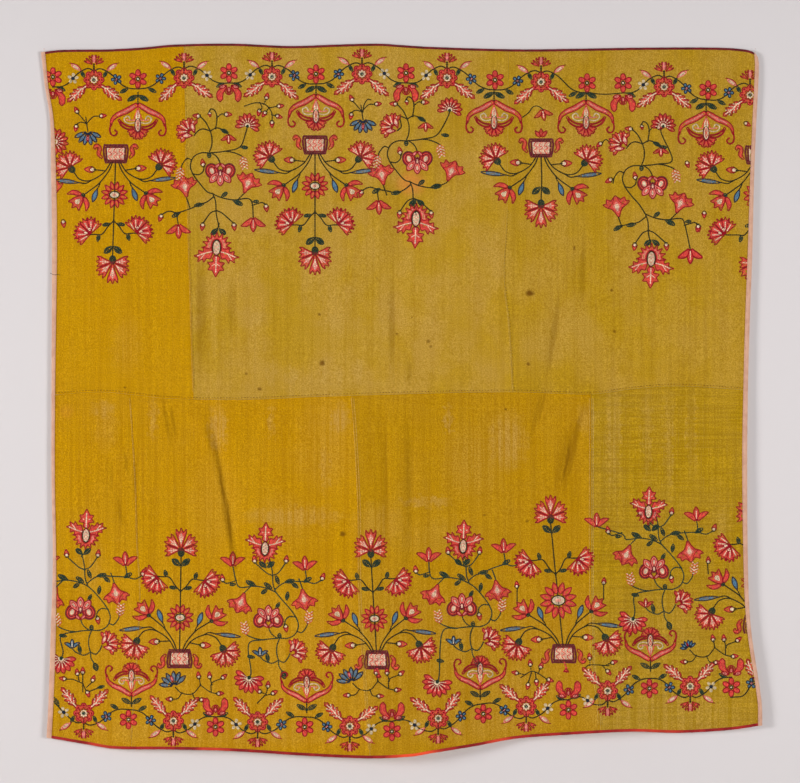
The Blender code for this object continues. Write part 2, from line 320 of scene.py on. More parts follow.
def addPanel(name, first, last, upper, material):
    uprights = upperSeams if upper else lowerSeams
    atTape = (first == 0, last == len(uprights) + 3)
    gap = hanging["gap"]
    wall = hanging["tape"] + gap
    x, z = gridNodes(columns[columnsBetween(upper, first, last)], upper)
    y = depth(x, z)
    sides = zip((first, last), (1, -1), atTape)
    edges = [(uprights[line - 2], side) for line, side, taped in sides if not taped]
    relief = seamRelief(x, z, upper, edges)
    x[:, 0] += wall if atTape[0] else gap / 2
    x[:, -1] -= wall if atTape[1] else gap / 2
    z[0] -= wall if upper else gap / 2
    z[-1] += gap / 2 if upper else wall
    half = hanging["cloth"] / 2
    front = np.stack([x, y - half - relief, z], -1)
    back = np.stack([x, y + half - relief * 0.6, z], -1)
    rows, count = x.shape
    points = np.concatenate([front.reshape(-1, 3), back.reshape(-1, 3)])
    size = rows * count
    faces = gridFaces(rows, count, 0) + gridFaces(rows, count, size)
    index = np.arange(size).reshape(rows, count)
    for line in (index[0], index[-1], index[:, 0], index[:, -1]):
        near = [int(k) for k in line]
        faces += [(a, b, b + size, a + size) for a, b in zip(near, near[1:])]
    return meshObject(name, points, faces, material)


strip = {
    "bulge": 0.0005,           # how far the middle of a strip's face stands out
    "roll": 0.0012,            # how far in from the edge a face begins to turn
    "tapePucker": 0.00035,     # how far the stitches pucker a tape and a binding
    "bindingPucker": 0.00030,
}


def addFoldedStrip(name, edge, inner, out, material, ripple):
    # a tape folded over an edge: an open U run along the edge, closed at both ends
    tape, inside = hanging["tape"], hanging["cloth"] / 2 + hanging["gap"]
    outside = inside + tape
    edge, inner, out = np.array(edge), np.array(inner), np.array(out, float)
    count = len(edge)
    yEdge, yInner = depth(edge[:, 0], edge[:, 1]), depth(inner[:, 0], inner[:, 1])
    run = np.concatenate([[0], np.cumsum(np.hypot(*np.diff(edge, axis=0).T))])
    pucker = ripple * (np.sin(run / 0.0068) + 0.6 * np.sin(run / 0.0031 + 1.3))
    pucker[[0, -1]] = 0
    wall = edge - out * tape
    edgeFull = edge + out * (0.5 * pucker[:, None] - 0.5 * ripple)
    middle = (edge + inner) / 2
    yMiddle = (yEdge + yInner) / 2
    bulge, roll = strip["bulge"], strip["roll"]
    ring = [(inner, yInner - outside), (middle, yMiddle - outside - bulge - pucker),
            (edge - out * roll, yEdge - outside), (edgeFull, yEdge - inside * 0.5),
            (edgeFull, yEdge + inside * 0.5), (edge - out * roll, yEdge + outside),
            (middle, yMiddle + outside + bulge * 0.5), (inner, yInner + outside),
            (inner, yInner + inside), (middle, yMiddle + inside), (wall, yEdge + inside),
            (wall, yEdge - inside), (middle, yMiddle - inside), (inner, yInner - inside)]
    sides = len(ring)
    points = np.stack([np.stack([p[:, 0], y, p[:, 1]], -1) for p, y in ring], 1).reshape(-1, 3)
    faces = []
    for k in range(count - 1):
        a, b = k * sides, (k + 1) * sides
        faces += [(a + i, a + (i + 1) % sides, b + (i + 1) % sides, b + i) for i in range(sides)]
    for start in (0, (count - 1) * sides):
        faces += [tuple(start + i for i in quad) for quad in
                  ((0, 1, 12, 13), (1, 2, 11, 12), (2, 3, 4, 5, 10, 11), (5, 6, 9, 10), (6, 7, 8, 9))]
    return meshObject(name, points, faces, material)


def sideStrip(name, column, tapeLine, out, material):
    # the tape down a side, from its edge column to the line where it ends
    innerColumn = int(np.argmin(abs(columns - float(upperLines[tapeLine](seamLevel)))))
    edge, inner = [], []
    for upper in (True, False):
        x, z = gridNodes(columns, upper)
        rows = range(0 if upper else 1, x.shape[0])
        edge += [(x[k, column], z[k, column]) for k in rows]
        inner += [(x[k, innerColumn], z[k, innerColumn]) for k in rows]
    edge, inner = np.array(edge), np.array(inner)
    keep = np.concatenate([[True], np.hypot(*np.diff(edge, axis=0).T) > 0.002])
    return addFoldedStrip(name, edge[keep], inner[keep], [(out, 0)] * int(keep.sum()),
                          material, strip["tapePucker"])


def endStrip(name, upper, material):
    # the binding along the top edge or the hem, from tape to tape
    x, z = gridNodes(columns, upper)
    edgeRow, innerRow, out = (0, 1, 1) if upper else (-1, -2, -1)
    inside = columnsBetween(upper, 1, -2)
    edge = np.stack([x[edgeRow, inside], z[edgeRow, inside]], -1)
    inner = np.stack([x[innerRow, inside], z[innerRow, inside]], -1)
    for line in (edge, inner):
        line[0, 0] += hanging["gap"]
        line[-1, 0] -= hanging["gap"]
    return addFoldedStrip(name, edge, inner, [(0, out)] * len(edge), material,
                          strip["bindingPucker"])


def linear(red, green, blue):
    # a paint-chart colour, 0 to 255, as the renderer's linear colour
    parts = [v / 255 for v in (red, green, blue)]
    return tuple(p / 12.92 if p <= 0.04045 else ((p + 0.055) / 1.055) ** 2.4
                 for p in parts) + (1.0,)


def addNode(tree, kind, inputs=(), **settings):
    # a node with settings, and its inputs set or linked by name or number
    node = tree.nodes.new(kind)
    for key, value in settings.items():
        setattr(node, key, value)
    for key, value in dict(inputs).items():
        socket = node.inputs[key]
        if isinstance(value, bpy.types.NodeSocket):
            tree.links.new(value, socket)
        else:
            socket.default_value = value
    return node


def combine(tree, operation, a, b, clamp=False):
    return addNode(tree, "ShaderNodeMath", {0: a, 1: b}, operation=operation,
                   use_clamp=clamp).outputs[0]


def times(tree, a, b):
    return combine(tree, "MULTIPLY", a, b)


def ramp(tree, value, low, high, toLow=0.0, toHigh=1.0):
    return addNode(tree, "ShaderNodeMapRange", {
        "Value": value, "From Min": low, "From Max": high, "To Min": toLow, "To Max": toHigh},
        interpolation_type="SMOOTHSTEP").outputs["Result"]


def layered(tree, colour, layers):
    # a colour with others laid over it, each as a mask and a tone
    for mask, tone in layers:
        colour = addNode(tree, "ShaderNodeMix", {"Factor": mask, 6: colour, 7: tone},
                         data_type="RGBA").outputs[2]
    return colour


def bumped(tree, height, strength, distance, under=None):
    inputs = {"Strength": strength, "Distance": distance, "Height": height}
    if under:
        inputs["Normal"] = under
    return addNode(tree, "ShaderNodeBump", inputs).outputs[0]


def wave(tree, place, scale, distortion, direction, **more):
    return addNode(tree, "ShaderNodeTexWave", {
        "Vector": place, "Scale": scale, "Distortion": distortion, **more},
        bands_direction=direction).outputs["Fac"]


def stretched(tree, place, scale):
    return addNode(tree, "ShaderNodeMapping", {"Vector": place, "Scale": scale}).outputs[0]


def noise(tree, place, scale, detail=3.0, rough=0.55):
    return addNode(tree, "ShaderNodeTexNoise", {
        "Vector": place, "Scale": scale, "Detail": detail, "Roughness": rough}).outputs["Fac"]


def newGroup(name, inputs, outputs):
    # a node group: its inputs have a name and a kind, and its outputs are all numbers
    group = bpy.data.node_groups.new(name, "ShaderNodeTree")
    for label, kind in inputs.items():
        group.interface.new_socket(name=label, in_out="INPUT", socket_type="NodeSocket" + kind)
    for label in outputs:
        group.interface.new_socket(name=label, in_out="OUTPUT", socket_type="NodeSocketFloat")
    end = group.nodes.new("NodeGroupOutput")
    return group, group.nodes.new("NodeGroupInput").outputs, end.inputs


def finishGroup(group, ends, results):
    for label, socket in results.items():
        group.links.new(socket, ends[label])
    return group


def groupOutputs(tree, group, **inputs):
    return addNode(tree, "ShaderNodeGroup", inputs, node_tree=group).outputs


def makeWeaveGroup():
    # plain weave: warp and weft threads as height, with slubs that swell some of them
    group, given, ends = newGroup(
        "plainWeave", {"Place": "Vector", "Threads": "Float", "Slubs": "Float"}, ["Height", "Slub"])
    place = given["Place"]
    scale = times(group, given["Threads"], 0.314)
    warp, weft = (wave(group, place, scale, 1.2, way, **{"Detail": 1.0, "Detail Scale": 0.35})
                  for way in ("X", "Z"))
    upright = noise(group, stretched(group, place, (420, 60, 14)), 1.0, 2.0)
    across = noise(group, stretched(group, place, (16, 60, 460)), 1.0, 2.0)
    thick = ramp(group, combine(group, "MAXIMUM", upright, across), 0.50, 0.78)
    slub = times(group, thick, given["Slubs"])
    woven = times(group, combine(group, "MAXIMUM", warp, weft), 0.7)
    return finishGroup(group, ends, {"Height": combine(group, "ADD", woven, slub), "Slub": slub})


def makeStreakGroup():
    # long warp streaks, shorter weft bars and soft mottling, each 0 to 1
    patterns = {               # stretch, scale, detail, roughness and where it starts and ends
        "Warp": ((95, 20, 1.7), 1.0, 4.0, 0.62, 0.36, 0.68),
        "Weft": ((5.0, 20, 150), 1.0, 3.0, 0.6, 0.38, 0.68),
        "Mottle": ((1, 1, 0.7), 7.5, 5.0, 0.6, 0.34, 0.66),
        "Grain": ((1, 1, 1), 270.0, 3.0, 0.75, 0.30, 0.70)}
    group, given, ends = newGroup("dyeStreaks", {"Place": "Vector"}, patterns)
    return finishGroup(group, ends, {
        label: ramp(group, noise(group, stretched(group, given["Place"], stretch), *rest[:3]),
                    *rest[3:]) for label, (stretch, *rest) in patterns.items()})


# stains and worn places, painted shade along the folds and creases, and rust: x, z, half width and half
# height in millimetres, strength
stains = [
    (-233, -955, 12, 13, 0.90), (-10, -866, 6, 5, 0.75), (85, -890, 9, 8, 0.7),
    (-243, -808, 6, 6, 0.8), (390, -745, 18, 13, 1.0), (384, -957, 8, 8, 0.8), (633, -736, 7, 6, 0.8),
    (523, -609, 7, 9, 0.8), (645, -860, 7, 7, 0.7), (-171, -1466, 13, 11, 0.85), (318, -1092, 7, 6, 0.8),
    (252, -1410, 7, 6, 0.7), (381, -1428, 7, 6, 0.7), (-420, -1032, 10, 8, 0.8),
    (-825, -1027, 7, 6, 0.7), (-460, -985, 6, 6, 0.7),
    (36, -818, 3, 3, 0.8), (92, -905, 6, 6, 0.6), (-70, -700, 6, 5, 0.4),
    (700, -560, 5, 6, 0.4), (-905, -480, 6, 5, 0.4)]
worn = [
    (-225, -1150, 110, 130, 0.16), (-235, -1235, 130, 120, 0.14), (-560, -1380, 110, 190, 0.10),
    (-180, -890, 190, 120, 0.16), (-180, -1015, 150, 30, 0.18), (470, -880, 190, 110, 0.16),
    (60, -760, 260, 160, 0.12), (215, -1260, 120, 150, 0.18), (300, -1160, 90, 90, 0.12),
    (-60, -1440, 110, 90, 0.20), (-350, -1420, 110, 110, 0.14), (120, -1480, 190, 80, 0.14),
    (640, -1180, 34, 230, 0.36), (740, -1170, 22, 210, 0.26), (805, -1200, 22, 230, 0.32),
    (875, -1150, 20, 180, 0.28), (-930, -1560, 60, 120, 0.20), (350, -1780, 140, 80, 0.12),
    (-330, -1990, 80, 60, 0.16), (290, -640, 90, 160, 0.14), (-880, -1150, 50, 90, 0.16),
    (960, -1450, 40, 90, 0.24), (700, -130, 160, 60, 0.14), (0, -1860, 1500, 330, 0.14),
    (800, -2010, 420, 120, 0.34), (200, -2030, 420, 90, 0.22), (-560, -2060, 700, 70, 0.20),
    (1000, -1950, 120, 300, 0.16),
    (-440, -822, 75, 34, 0.34), (-170, -845, 110, 60, 0.30), (-385, -985, 16, 70, 0.44),
    (-325, -1000, 20, 62, 0.44), (-222, -985, 18, 75, 0.40), (-180, -1000, 20, 60, 0.44),
    (-125, -985, 16, 70, 0.36), (-60, -850, 40, 60, 0.26), (-560, -870, 20, 120, 0.24),
    (640, -560, 30, 150, 0.22), (180, -900, 60, 90, 0.20), (-820, -900, 60, 120, 0.14),
    (-545, -1150, 36, 95, 0.56), (-180, -1120, 42, 62, 0.54), (-316, -1413, 190, 42, 0.46),
    (318, -1190, 82, 120, 0.48), (145, -1125, 14, 60, 0.60), (76, -1370, 105, 22, 0.44),
    (-885, -1095, 45, 36, 0.40),
    (-385, -1130, 14, 60, 0.40), (-225, -1260, 22, 110, 0.34), (-740, -1120, 16, 80, 0.34),
    (560, -1120, 40, 60, 0.30), (350, -1920, 130, 100, 0.24), (800, -1750, 190, 200, 0.16)]
shadowed = [                   # painted shade: darker dye laid along the folds and creases
    (-46, -1330, 13, 290, 0.40), (26, -1330, 12, 270, 0.36), (518, -1215, 14, 190, 0.55, -13),
    (-545, -1255, 9, 220, 0.34, 9), (-520, -1420, 11, 150, 0.48, 9), (-700, -1130, 9, 100, 0.40, 9),
    (-595, -800, 24, 230, 0.45), (-24, -830, 16, 190, 0.40), (548, -680, 13, 150, 0.48, -2),
    (462, -860, 14, 160, 0.46, -8), (-505, -780, 18, 130, 0.36), (28, -985, 10, 60, 0.42),
    (1003, -140, 12, 110, 0.40), (-700, -1830, 14, 80, 0.25),
    (412, -1100, 11, 110, 0.36, -14), (-840, -1400, 10, 60, 0.25, 8), (-864, -1290, 9, 50, 0.25),
    (-25, -470, 40, 330, 0.20), (-533, -1330, 7, 110, 0.80, 10), (-512, -1440, 8, 110, 0.85, 6),
    (500, -1250, 9, 95, 0.95, -12), (530, -1150, 9, 80, 0.55, -16), (425, -1085, 8, 70, 0.50, -12),
    (-680, -1130, 8, 60, 0.55, 10), (-795, -1300, 10, 90, 0.35), (-822, -1250, 7, 50, 0.40, 8)]
rust = [(33, -415, 60, 50, 0.60), (-1000, -1100, 30, 30, 0.15)]


def spots(tree, place, table):
    # soft marks laid over each other; a sixth value leans a long one, in degrees
    total = None
    for x, z, wide, tall, strength, *lean in table:
        away = addNode(tree, "ShaderNodeMapping", {
            "Vector": place, "Location": (x * mm, 0, z * mm),
            "Rotation": (0, radians(-lean[0] if lean else 0), 0),
            "Scale": (wide * mm, 10, tall * mm)}, vector_type="TEXTURE").outputs[0]
        ball = addNode(tree, "ShaderNodeTexGradient", {"Vector": away},
                       gradient_type="SPHERICAL").outputs["Fac"]
        mark = times(tree, ramp(tree, ball, 0.0, 0.75), strength)
        total = mark if total is None else combine(tree, "MAXIMUM", total, mark)
    return total


def makeMarksGroup():
    group, given, ends = newGroup("ageMarksAndPaintedShade", {"Place": "Vector"},
                                  ["Stain", "Worn", "Shadowed", "Rust"])
    ripple = addNode(group, "ShaderNodeTexNoise", {
        "Vector": given["Place"], "Scale": 60.0, "Detail": 3.0}).outputs["Color"]
    centred = addNode(group, "ShaderNodeVectorMath", {0: ripple, 1: (0.5, 0.5, 0.5)},
                      operation="SUBTRACT").outputs[0]

    def wavering(reach):
        # the place, moved about a little so that no mark has a drawn edge
        shift = addNode(group, "ShaderNodeVectorMath", {0: centred, "Scale": reach},
                        operation="SCALE").outputs[0]
        return addNode(group, "ShaderNodeVectorMath", {0: given["Place"], 1: shift},
                       operation="ADD").outputs[0]

    near, loose = wavering(0.010), wavering(0.06)
    return finishGroup(group, ends, {
        "Stain": spots(group, near, stains), "Worn": spots(group, loose, worn),
        # Shadowed is painted shade along the folds and creases
        "Shadowed": spots(group, near, shadowed), "Rust": spots(group, near, rust)})


weaveGroup = makeWeaveGroup()
streakGroup = makeStreakGroup()
marksGroup = makeMarksGroup()

# main, faded and streak colour, then shares of warp streaks, weft bars, fading and grain, and
# the threads in a metre and their slubs
woolCloth = {
    "goldenWoolA": ((213, 163, 5), (208, 166, 62), (168, 116, 2), 0.40, 0.16, 0.05, 0.85, 900.0, 0.35),
    "faded": ((201, 162, 38), (210, 172, 104), (158, 118, 20), 0.44, 0.18, 0.40, 0.85, 900.0, 0.40),
    "fadedRight": ((200, 161, 32), (207, 170, 94), (152, 112, 14), 0.44, 0.18, 0.34, 0.85, 900.0, 0.40),
    "goldenWoolB": ((215, 164, 6), (206, 164, 70), (164, 112, 2), 0.45, 0.16, 0.06, 0.88, 900.0, 0.40),
    "goldenWoolC": ((205, 158, 12), (202, 164, 78), (156, 108, 2), 0.45, 0.16, 0.08, 0.88, 900.0, 0.40),
    "coarseWool": ((205, 164, 24), (196, 162, 88), (142, 106, 6), 0.42, 0.55, 0.14, 0.85, 620.0, 0.80),
}
woolTones = {"threadbare": (206, 172, 104), "slub": (214, 182, 110), "shadow": (120, 80, 4),
             "rust": (214, 130, 62), "stain": (104, 62, 12)}


def startMaterial(name, roughness, sheen=0.0):
    material = bpy.data.materials.new(name)
    material.use_nodes = True
    tree = material.node_tree
    shader = tree.nodes["Principled BSDF"]
    for label, value in (("Roughness", roughness), ("Sheen Weight", sheen),
                         ("Sheen Roughness", 0.6), ("Specular IOR Level", 0.04)):
        shader.inputs[label].default_value = value
    place = addNode(tree, "ShaderNodeTexCoord").outputs["Object"]
    return material, tree, shader, place


def finishMaterial(tree, shader, colour, normal):
    tree.links.new(colour, shader.inputs["Base Color"])
    tree.links.new(normal, shader.inputs["Normal"])


def makeWool(name, look):
    *colours, streak, weft, fade, grain, threads, slubs = look
    material, tree, shader, place = startMaterial(name, 0.92)
    streaks = groupOutputs(tree, streakGroup, Place=place)
    marks = groupOutputs(tree, marksGroup, Place=place)
    weave = groupOutputs(tree, weaveGroup, Place=place, Threads=threads, Slubs=slubs)
    main, pale, dark = (linear(*colour) for colour in colours)
    tones = {key: linear(*tone) for key, tone in woolTones.items()}
    bare = combine(tree, "MULTIPLY", marks["Worn"],
                   ramp(tree, streaks["Warp"], 0.0, 1.0, 1.0, 0.25), True)
    colour = layered(tree, main, [
        (times(tree, streaks["Warp"], streak), dark), (times(tree, streaks["Weft"], weft), dark),
        (times(tree, streaks["Mottle"], fade), pale), (bare, tones["threadbare"]),
        (times(tree, weave["Slub"], 0.16), tones["slub"]),
        (times(tree, streaks["Grain"], grain), dark),
        # painted shade: the fold and crease marks darken the dye towards the shadow tone
        (times(tree, marks["Shadowed"], 0.75), tones["shadow"]), (marks["Rust"], tones["rust"]),
        (times(tree, marks["Stain"], 0.9), tones["stain"])])
    woven = bumped(tree, weave["Height"], 0.55, 0.0006)
    finishMaterial(tree, shader, colour, bumped(tree, streaks["Grain"], 0.8, 0.0014, woven))
    tree.links.new(ramp(tree, streaks["Grain"], 0, 1, 0.82, 0.96), shader.inputs["Roughness"])
    return material


brightHem = [(50, -2128, 110, 40, 1.0), (-560, -2118, 70, 30, 0.5), (300, -2090, 60, 30, 0.6),
             (760, -2060, 120, 30, 0.35), (-900, -2105, 60, 30, 0.35)]
tapeWeave = {                  # slanting twill ribs, a little soiled along its length
    "rough": 0.85, "sheen": 0.10, "scale": 130.0, "waver": 0.6, "way": "DIAGONAL",
    "soilStretch": (1, 1, 1), "soilScale": 38.0, "soilRange": (0.38, 0.66), "soil": 0.5,
    "ribShade": 0.35, "bump": 0.5}
bindingWeave = {               # ribbed braid
    "rough": 0.7, "sheen": 0.15, "scale": 170.0, "waver": 1.0, "way": "X",
    "soilStretch": (1, 1, 0.3), "soilScale": 26.0, "soilRange": (0.36, 0.64), "soil": 1.0,
    "ribShade": 0.2, "bump": 0.6}
edging = {                     # weave, main, dark and pale colour, and where the dye has kept bright
    "roseTape": (tapeWeave, (198, 154, 130), (166, 116, 94), (216, 178, 154), None),
    "crimsonBinding": (bindingWeave, (112, 18, 30), (76, 10, 18), (150, 40, 40), None),
    "vermilionBinding": (bindingWeave, (160, 32, 30), (128, 18, 22), (228, 78, 42), brightHem),
}


def makeEdging(name, weave, main, dark, pale, bright):
    material, tree, shader, place = startMaterial(name, weave["rough"], weave["sheen"])
    ribs = wave(tree, place, weave["scale"], weave["waver"], weave["way"])
    dirt = noise(tree, stretched(tree, place, weave["soilStretch"]), weave["soilScale"], 4.0)
    soil = times(tree, ramp(tree, dirt, *weave["soilRange"]), weave["soil"])
    lit = spots(tree, place, bright) if bright else times(tree, ribs, weave["ribShade"])
    colour = layered(tree, linear(*main), [(soil, linear(*dark)), (lit, linear(*pale))])
    finishMaterial(tree, shader, colour, bumped(tree, ribs, weave["bump"], 0.0004))
    return material


woolMaterials = {name: makeWool(name, look) for name, look in woolCloth.items()}
edgingMaterials = {name: makeEdging(name, *look) for name, look in edging.items()}
print("materials made")

panels = {                     # node, first and last edge line, upper half, finish, slot
    "upperLeftPanel": ("upper_left_panel", 0, 2, True, "goldenWoolA", "golden_wool"),
    "upperMiddlePanel": ("upper_middle_panel", 2, 3, True, "faded", "mustard_wool"),
    "upperRightPanel": ("upper_right_panel", 3, 5, True, "fadedRight", "mustard_wool"),
    "lowerLeftPanel": ("lower_left_panel", 0, 2, False, "goldenWoolB", "golden_wool"),
    "lowerMidLeftPanel": ("lower_mid_left_panel", 2, 3, False, "goldenWoolB", "golden_wool"),
    "lowerMidRightPanel": ("lower_mid_right_panel", 3, 4, False, "goldenWoolC", "golden_wool"),
    "lowerRightPanel": ("lower_right_panel", 4, 6, False, "coarseWool", "coarse_wool"),
}
cloth = {name: addPanel(name, first, last, upper, woolMaterials[finish])
         for name, (node, first, last, upper, finish, slotName) in panels.items()}
edgings = {                    # what makes it and where it runs, finish, node, slot
    "leftTape": (sideStrip, (0, 1, -1), "roseTape", "left_tape", "rose_tape"),
    "rightTape": (sideStrip, (-1, -2, 1), "roseTape", "right_tape", "rose_tape"),
    "topBinding": (endStrip, (True,), "crimsonBinding", "top_binding", "crimson_binding"),
    "bottomBinding": (endStrip, (False,), "vermilionBinding", "bottom_binding",
                      "vermilion_binding"),
}
strips = {name: (makeStrip(name, *run, edgingMaterials[finish]), node, slotName)
          for name, (makeStrip, run, finish, node, slotName) in edgings.items()}
print("cloth made", sum(len(piece.data.polygons) for piece in cloth.values()))

# Motifs are drawn in millimetres with their stem end at (0, 0), facing along +Y.
crewel = {
    "rowPitch": 2.9,           # distance between rows of stitches
    "edgePitch": 3.3,          # room taken by the row round the edge
    "edgeWidth": 3.9,
    "rowWidth": 3.5,
    "stemWidth": 4.3,
    "height": 1.25,            # how far the yarn stands off the cloth
    "couchedHeight": 0.6,      # share of that for thread drawn tight, which is also less even
    "unevenness": 0.10, "couchedUnevenness": 0.25,
    "edge": 1.8,               # bare cloth left beside the tapes
    "cell": 0.8,               # grid on which a shape's distances are worked out
    "loopStep": 1.6, "shortestLoop": 4.0, "lineStep": 2.2, "shortestLine": 3.0,
    "firstSeed": 11, "seedStep": 7,
}
Spot = namedtuple("Spot", "x z turn size flip", defaults=[0, 0, 0, 1, 1])
Row = namedtuple("Row", "yarn points closed width lift")
workedRows = []
filledShapes = {}
flat = Spot()                  # for lines that are already in the cloth's own millimetres


def toCloth(spot, points):
    c, s = cos(radians(spot.turn)), sin(radians(spot.turn))
    out = []
    for x, y in points:
        x, y = x * spot.flip * spot.size, y * spot.size
        out.append((spot.x + x * c - y * s, spot.z + x * s + y * c))
    return out


def distanceInside(outline, gx, gy):
    # distance to an outline, positive inside it
    p = np.array(outline, float)
    after = np.roll(p, -1, axis=0)
    best = np.full(gx.shape, 1e9)
    inside = np.zeros(gx.shape, bool)
    for (ax, ay), (bx, by) in zip(p, after):
        dx, dy = bx - ax, by - ay
        length = dx * dx + dy * dy
        if length < 1e-9:
            continue
        t = np.clip(((gx - ax) * dx + (gy - ay) * dy) / length, 0, 1)
        best = np.minimum(best, (gx - ax - t * dx) ** 2 + (gy - ay - t * dy) ** 2)
        if dy != 0:
            inside ^= ((ay > gy) != (by > gy)) & (gx < (gy - ay) * dx / dy + ax)
    return np.sqrt(best) * np.where(inside, 1, -1)


def levelLoops(field, gx, gy, level):
    # closed lines along which the field has one value, cell by cell: which sides of a cell a
    # line joins depends on which of its corners lie above that value
    above = field > level
    steps = {}
    joins = {1: [(3, 0)], 2: [(0, 1)], 3: [(3, 1)], 4: [(1, 2)], 5: [(3, 0), (1, 2)], 6: [(0, 2)],
             7: [(3, 2)], 8: [(2, 3)], 9: [(2, 0)], 10: [(0, 1), (2, 3)], 11: [(2, 1)],
             12: [(1, 3)], 13: [(1, 0)], 14: [(0, 3)]}
    code = above[:-1, :-1] * 1 + above[:-1, 1:] * 2 + above[1:, 1:] * 4 + above[1:, :-1] * 8
    for j, i in np.argwhere((code > 0) & (code < 15)):
        sides = ((0, j, i), (1, j, i + 1), (0, j + 1, i), (1, j, i))
        for a, b in joins[int(code[j, i])]:
            steps[sides[a]] = sides[b]

    def crossing(side):
        kind, j, i = side
        j2, i2 = (j, i + 1) if kind == 0 else (j + 1, i)
        low, high = field[j, i], field[j2, i2]
        t = (level - low) / (high - low) if high != low else 0.5
        return (gx[j, i] + (gx[j2, i2] - gx[j, i]) * t, gy[j, i] + (gy[j2, i2] - gy[j, i]) * t)

    loops = []
    while steps:
        start, at = next(iter(steps.items()))
        line = [start]
        del steps[start]
        while at in steps:
            line.append(at)
            at = steps.pop(at)
        loops.append([crossing(side) for side in line])
    return loops


def evenly(points, spacing, closed):
    p = np.array(points + points[:1] if closed else points, float)
    along = np.concatenate([[0], np.cumsum(np.hypot(*np.diff(p, axis=0).T))])
    total = along[-1]
    count = max(3 if closed else 1, round(total / spacing))
    at = np.linspace(0, total, count + 1)
    if closed:
        at = at[:-1]
    return list(zip(np.interp(at, along, p[:, 0]), np.interp(at, along, p[:, 1]))), total


def nestedRows(outline, tones, holes):
    # rows of stitches that follow the outline inwards, each in its own colour
    p = np.array(outline)
    edge, cell = crewel["edgePitch"], crewel["cell"]
    x = np.arange(p[:, 0].min() - 2, p[:, 0].max() + 2, cell)
    y = np.arange(p[:, 1].min() - 2, p[:, 1].max() + 2, cell)
    gx, gy = np.meshgrid(x, y)
    field = distanceInside(outline, gx, gy)
    for hole in holes:
        field = np.minimum(field, -distanceInside(hole, gx, gy))
    deepest = field.max()
    count = max(1, round((deepest - edge) / crewel["rowPitch"])) if deepest > edge + cell else 0
    pitch = crewel["rowPitch"] * 0.85 if holes else (deepest - edge) / max(count, 1)
    levels = [min(edge / 2, deepest * 0.6)] + [edge + (k + 0.5) * pitch for k in range(count)]
    rows = []
    for k, level in enumerate(levels):
        tone = tones[min(k, len(tones) - 1)]
        width = crewel["edgeWidth" if k == 0 else "rowWidth"]
        for loop in levelLoops(field, gx, gy, level):
            line, total = evenly(loop, crewel["loopStep"], True)
            if total > crewel["shortestLoop"]:
                rows.append((tone, line, width))
    return rows


def fill(spot, outline, tones, holes=(), lift=0.0):
    scaled = [(x * spot.size, y * spot.size) for x, y in outline]
    cuts = [[(x * spot.size, y * spot.size) for x, y in hole] for hole in holes]
    key = (tuple(scaled), tones, tuple(tuple(cut) for cut in cuts))
    if key not in filledShapes:
        filledShapes[key] = nestedRows(scaled, tones, cuts)
    plain = spot._replace(size=1.0)
    for tone, line, width in filledShapes[key]:
        workedRows.append(Row(tone, toCloth(plain, line), True, width, lift))


def curveThrough(points):
    # a smooth line through a few points
    p = [np.array(q, float) for q in points]
    if len(p) == 2:
        return [tuple(p[0]), tuple(p[1])]
    ends = [2 * p[0] - p[1], *p, 2 * p[-1] - p[-2]]
    line = []
    for a, b, c, d in zip(ends, ends[1:], ends[2:], ends[3:]):
        for t in np.arange(0, 1, 0.125):
            line.append(tuple(0.5 * (2 * b + (c - a) * t + (2 * a - 5 * b + 4 * c - d) * t * t
                                     + (3 * b - a - 3 * c + d) * t ** 3)))
    return line + [tuple(p[-1])]


def stroke(spot, points, tone, width=None, lift=0.0):
    line, total = evenly(toCloth(spot, curveThrough(points)), crewel["lineStep"], False)
    if total > crewel["shortestLine"]:
        workedRows.append(Row(tone, line, False, width or crewel["rowWidth"], lift))


def moved(points, x=0, y=0, turn=0):
    return toCloth(Spot(x, y, turn), points)


def sided(side, points):
    # points drawn for the right side, put on side 1 or -1
    return [(x * side, y) for x, y in points]


def oval(wide, tall, x=0.0, y=0.0):
    return [(x + wide / 2 * cos(a), y + tall / 2 * sin(a)) for a in np.linspace(0, 2 * pi, 25)[:-1]]


def drop(length, width, fullest=0.45):
    # fullest tells at which share of its length the drop is widest
    power = np.log(0.5) / np.log(fullest)
    side = [(width / 2 * sin(pi * t ** power) ** 0.85, length * t) for t in np.linspace(0, 1, 14)]
    side[0], side[-1] = (0.0, 0.0), (0.0, length)
    return side + sided(-1, side[-2:0:-1])


def serrated(length, width, teeth, fullest, cut):
    # a leaf whose edge steps back after every forward-pointing tooth
    power = np.log(0.5) / np.log(fullest)
    side = [(0.0, 0.0)]
    for k in range(teeth):
        reach = width / 2 * max(0.25, sin(pi * ((k + 0.75) / (teeth + 0.5)) ** power))
        side.append((reach * cut, length * (k + 0.15) / (teeth + 0.5)))
        side.append((reach, length * (k + 1.05) / (teeth + 0.5)))
        side.append((reach * cut * 0.9, length * (k + 0.98) / (teeth + 0.5)))
    side.append((0.0, length))
    return side + sided(-1, side[-2:0:-1])


def wedge(length, spread, points, cut):
    # a petal that widens to a toothed end
    line = [(0.0, 0.0)]
    half = radians(spread) / 2
    for k in range(points):
        for share, reach in ((0.0, length - cut), (0.5, length)):
            a = -half + 2 * half * (k + share) / points
            line.append((reach * sin(a), reach * cos(a)))
    line.append(((length - cut) * sin(half), (length - cut) * cos(half)))
    return line


def toothedPetal(length, width, teeth=3):
    # a petal that widens to an end cut into points
    half = width / 2
    side = [(1.5, 0), (half * 0.50, length * 0.40), (half * 0.86, length * 0.70)]
    line = sided(-1, side)
    for k in range(teeth):
        x = half * (2 * (k + 0.5) / teeth - 1)
        line.append((x * 1.22, length * (1.0 - 0.08 * abs(x) / half)))
        if k < teeth - 1:
            line.append((half * (2 * (k + 1) / teeth - 1), length * 0.76))
    return line + side[::-1]


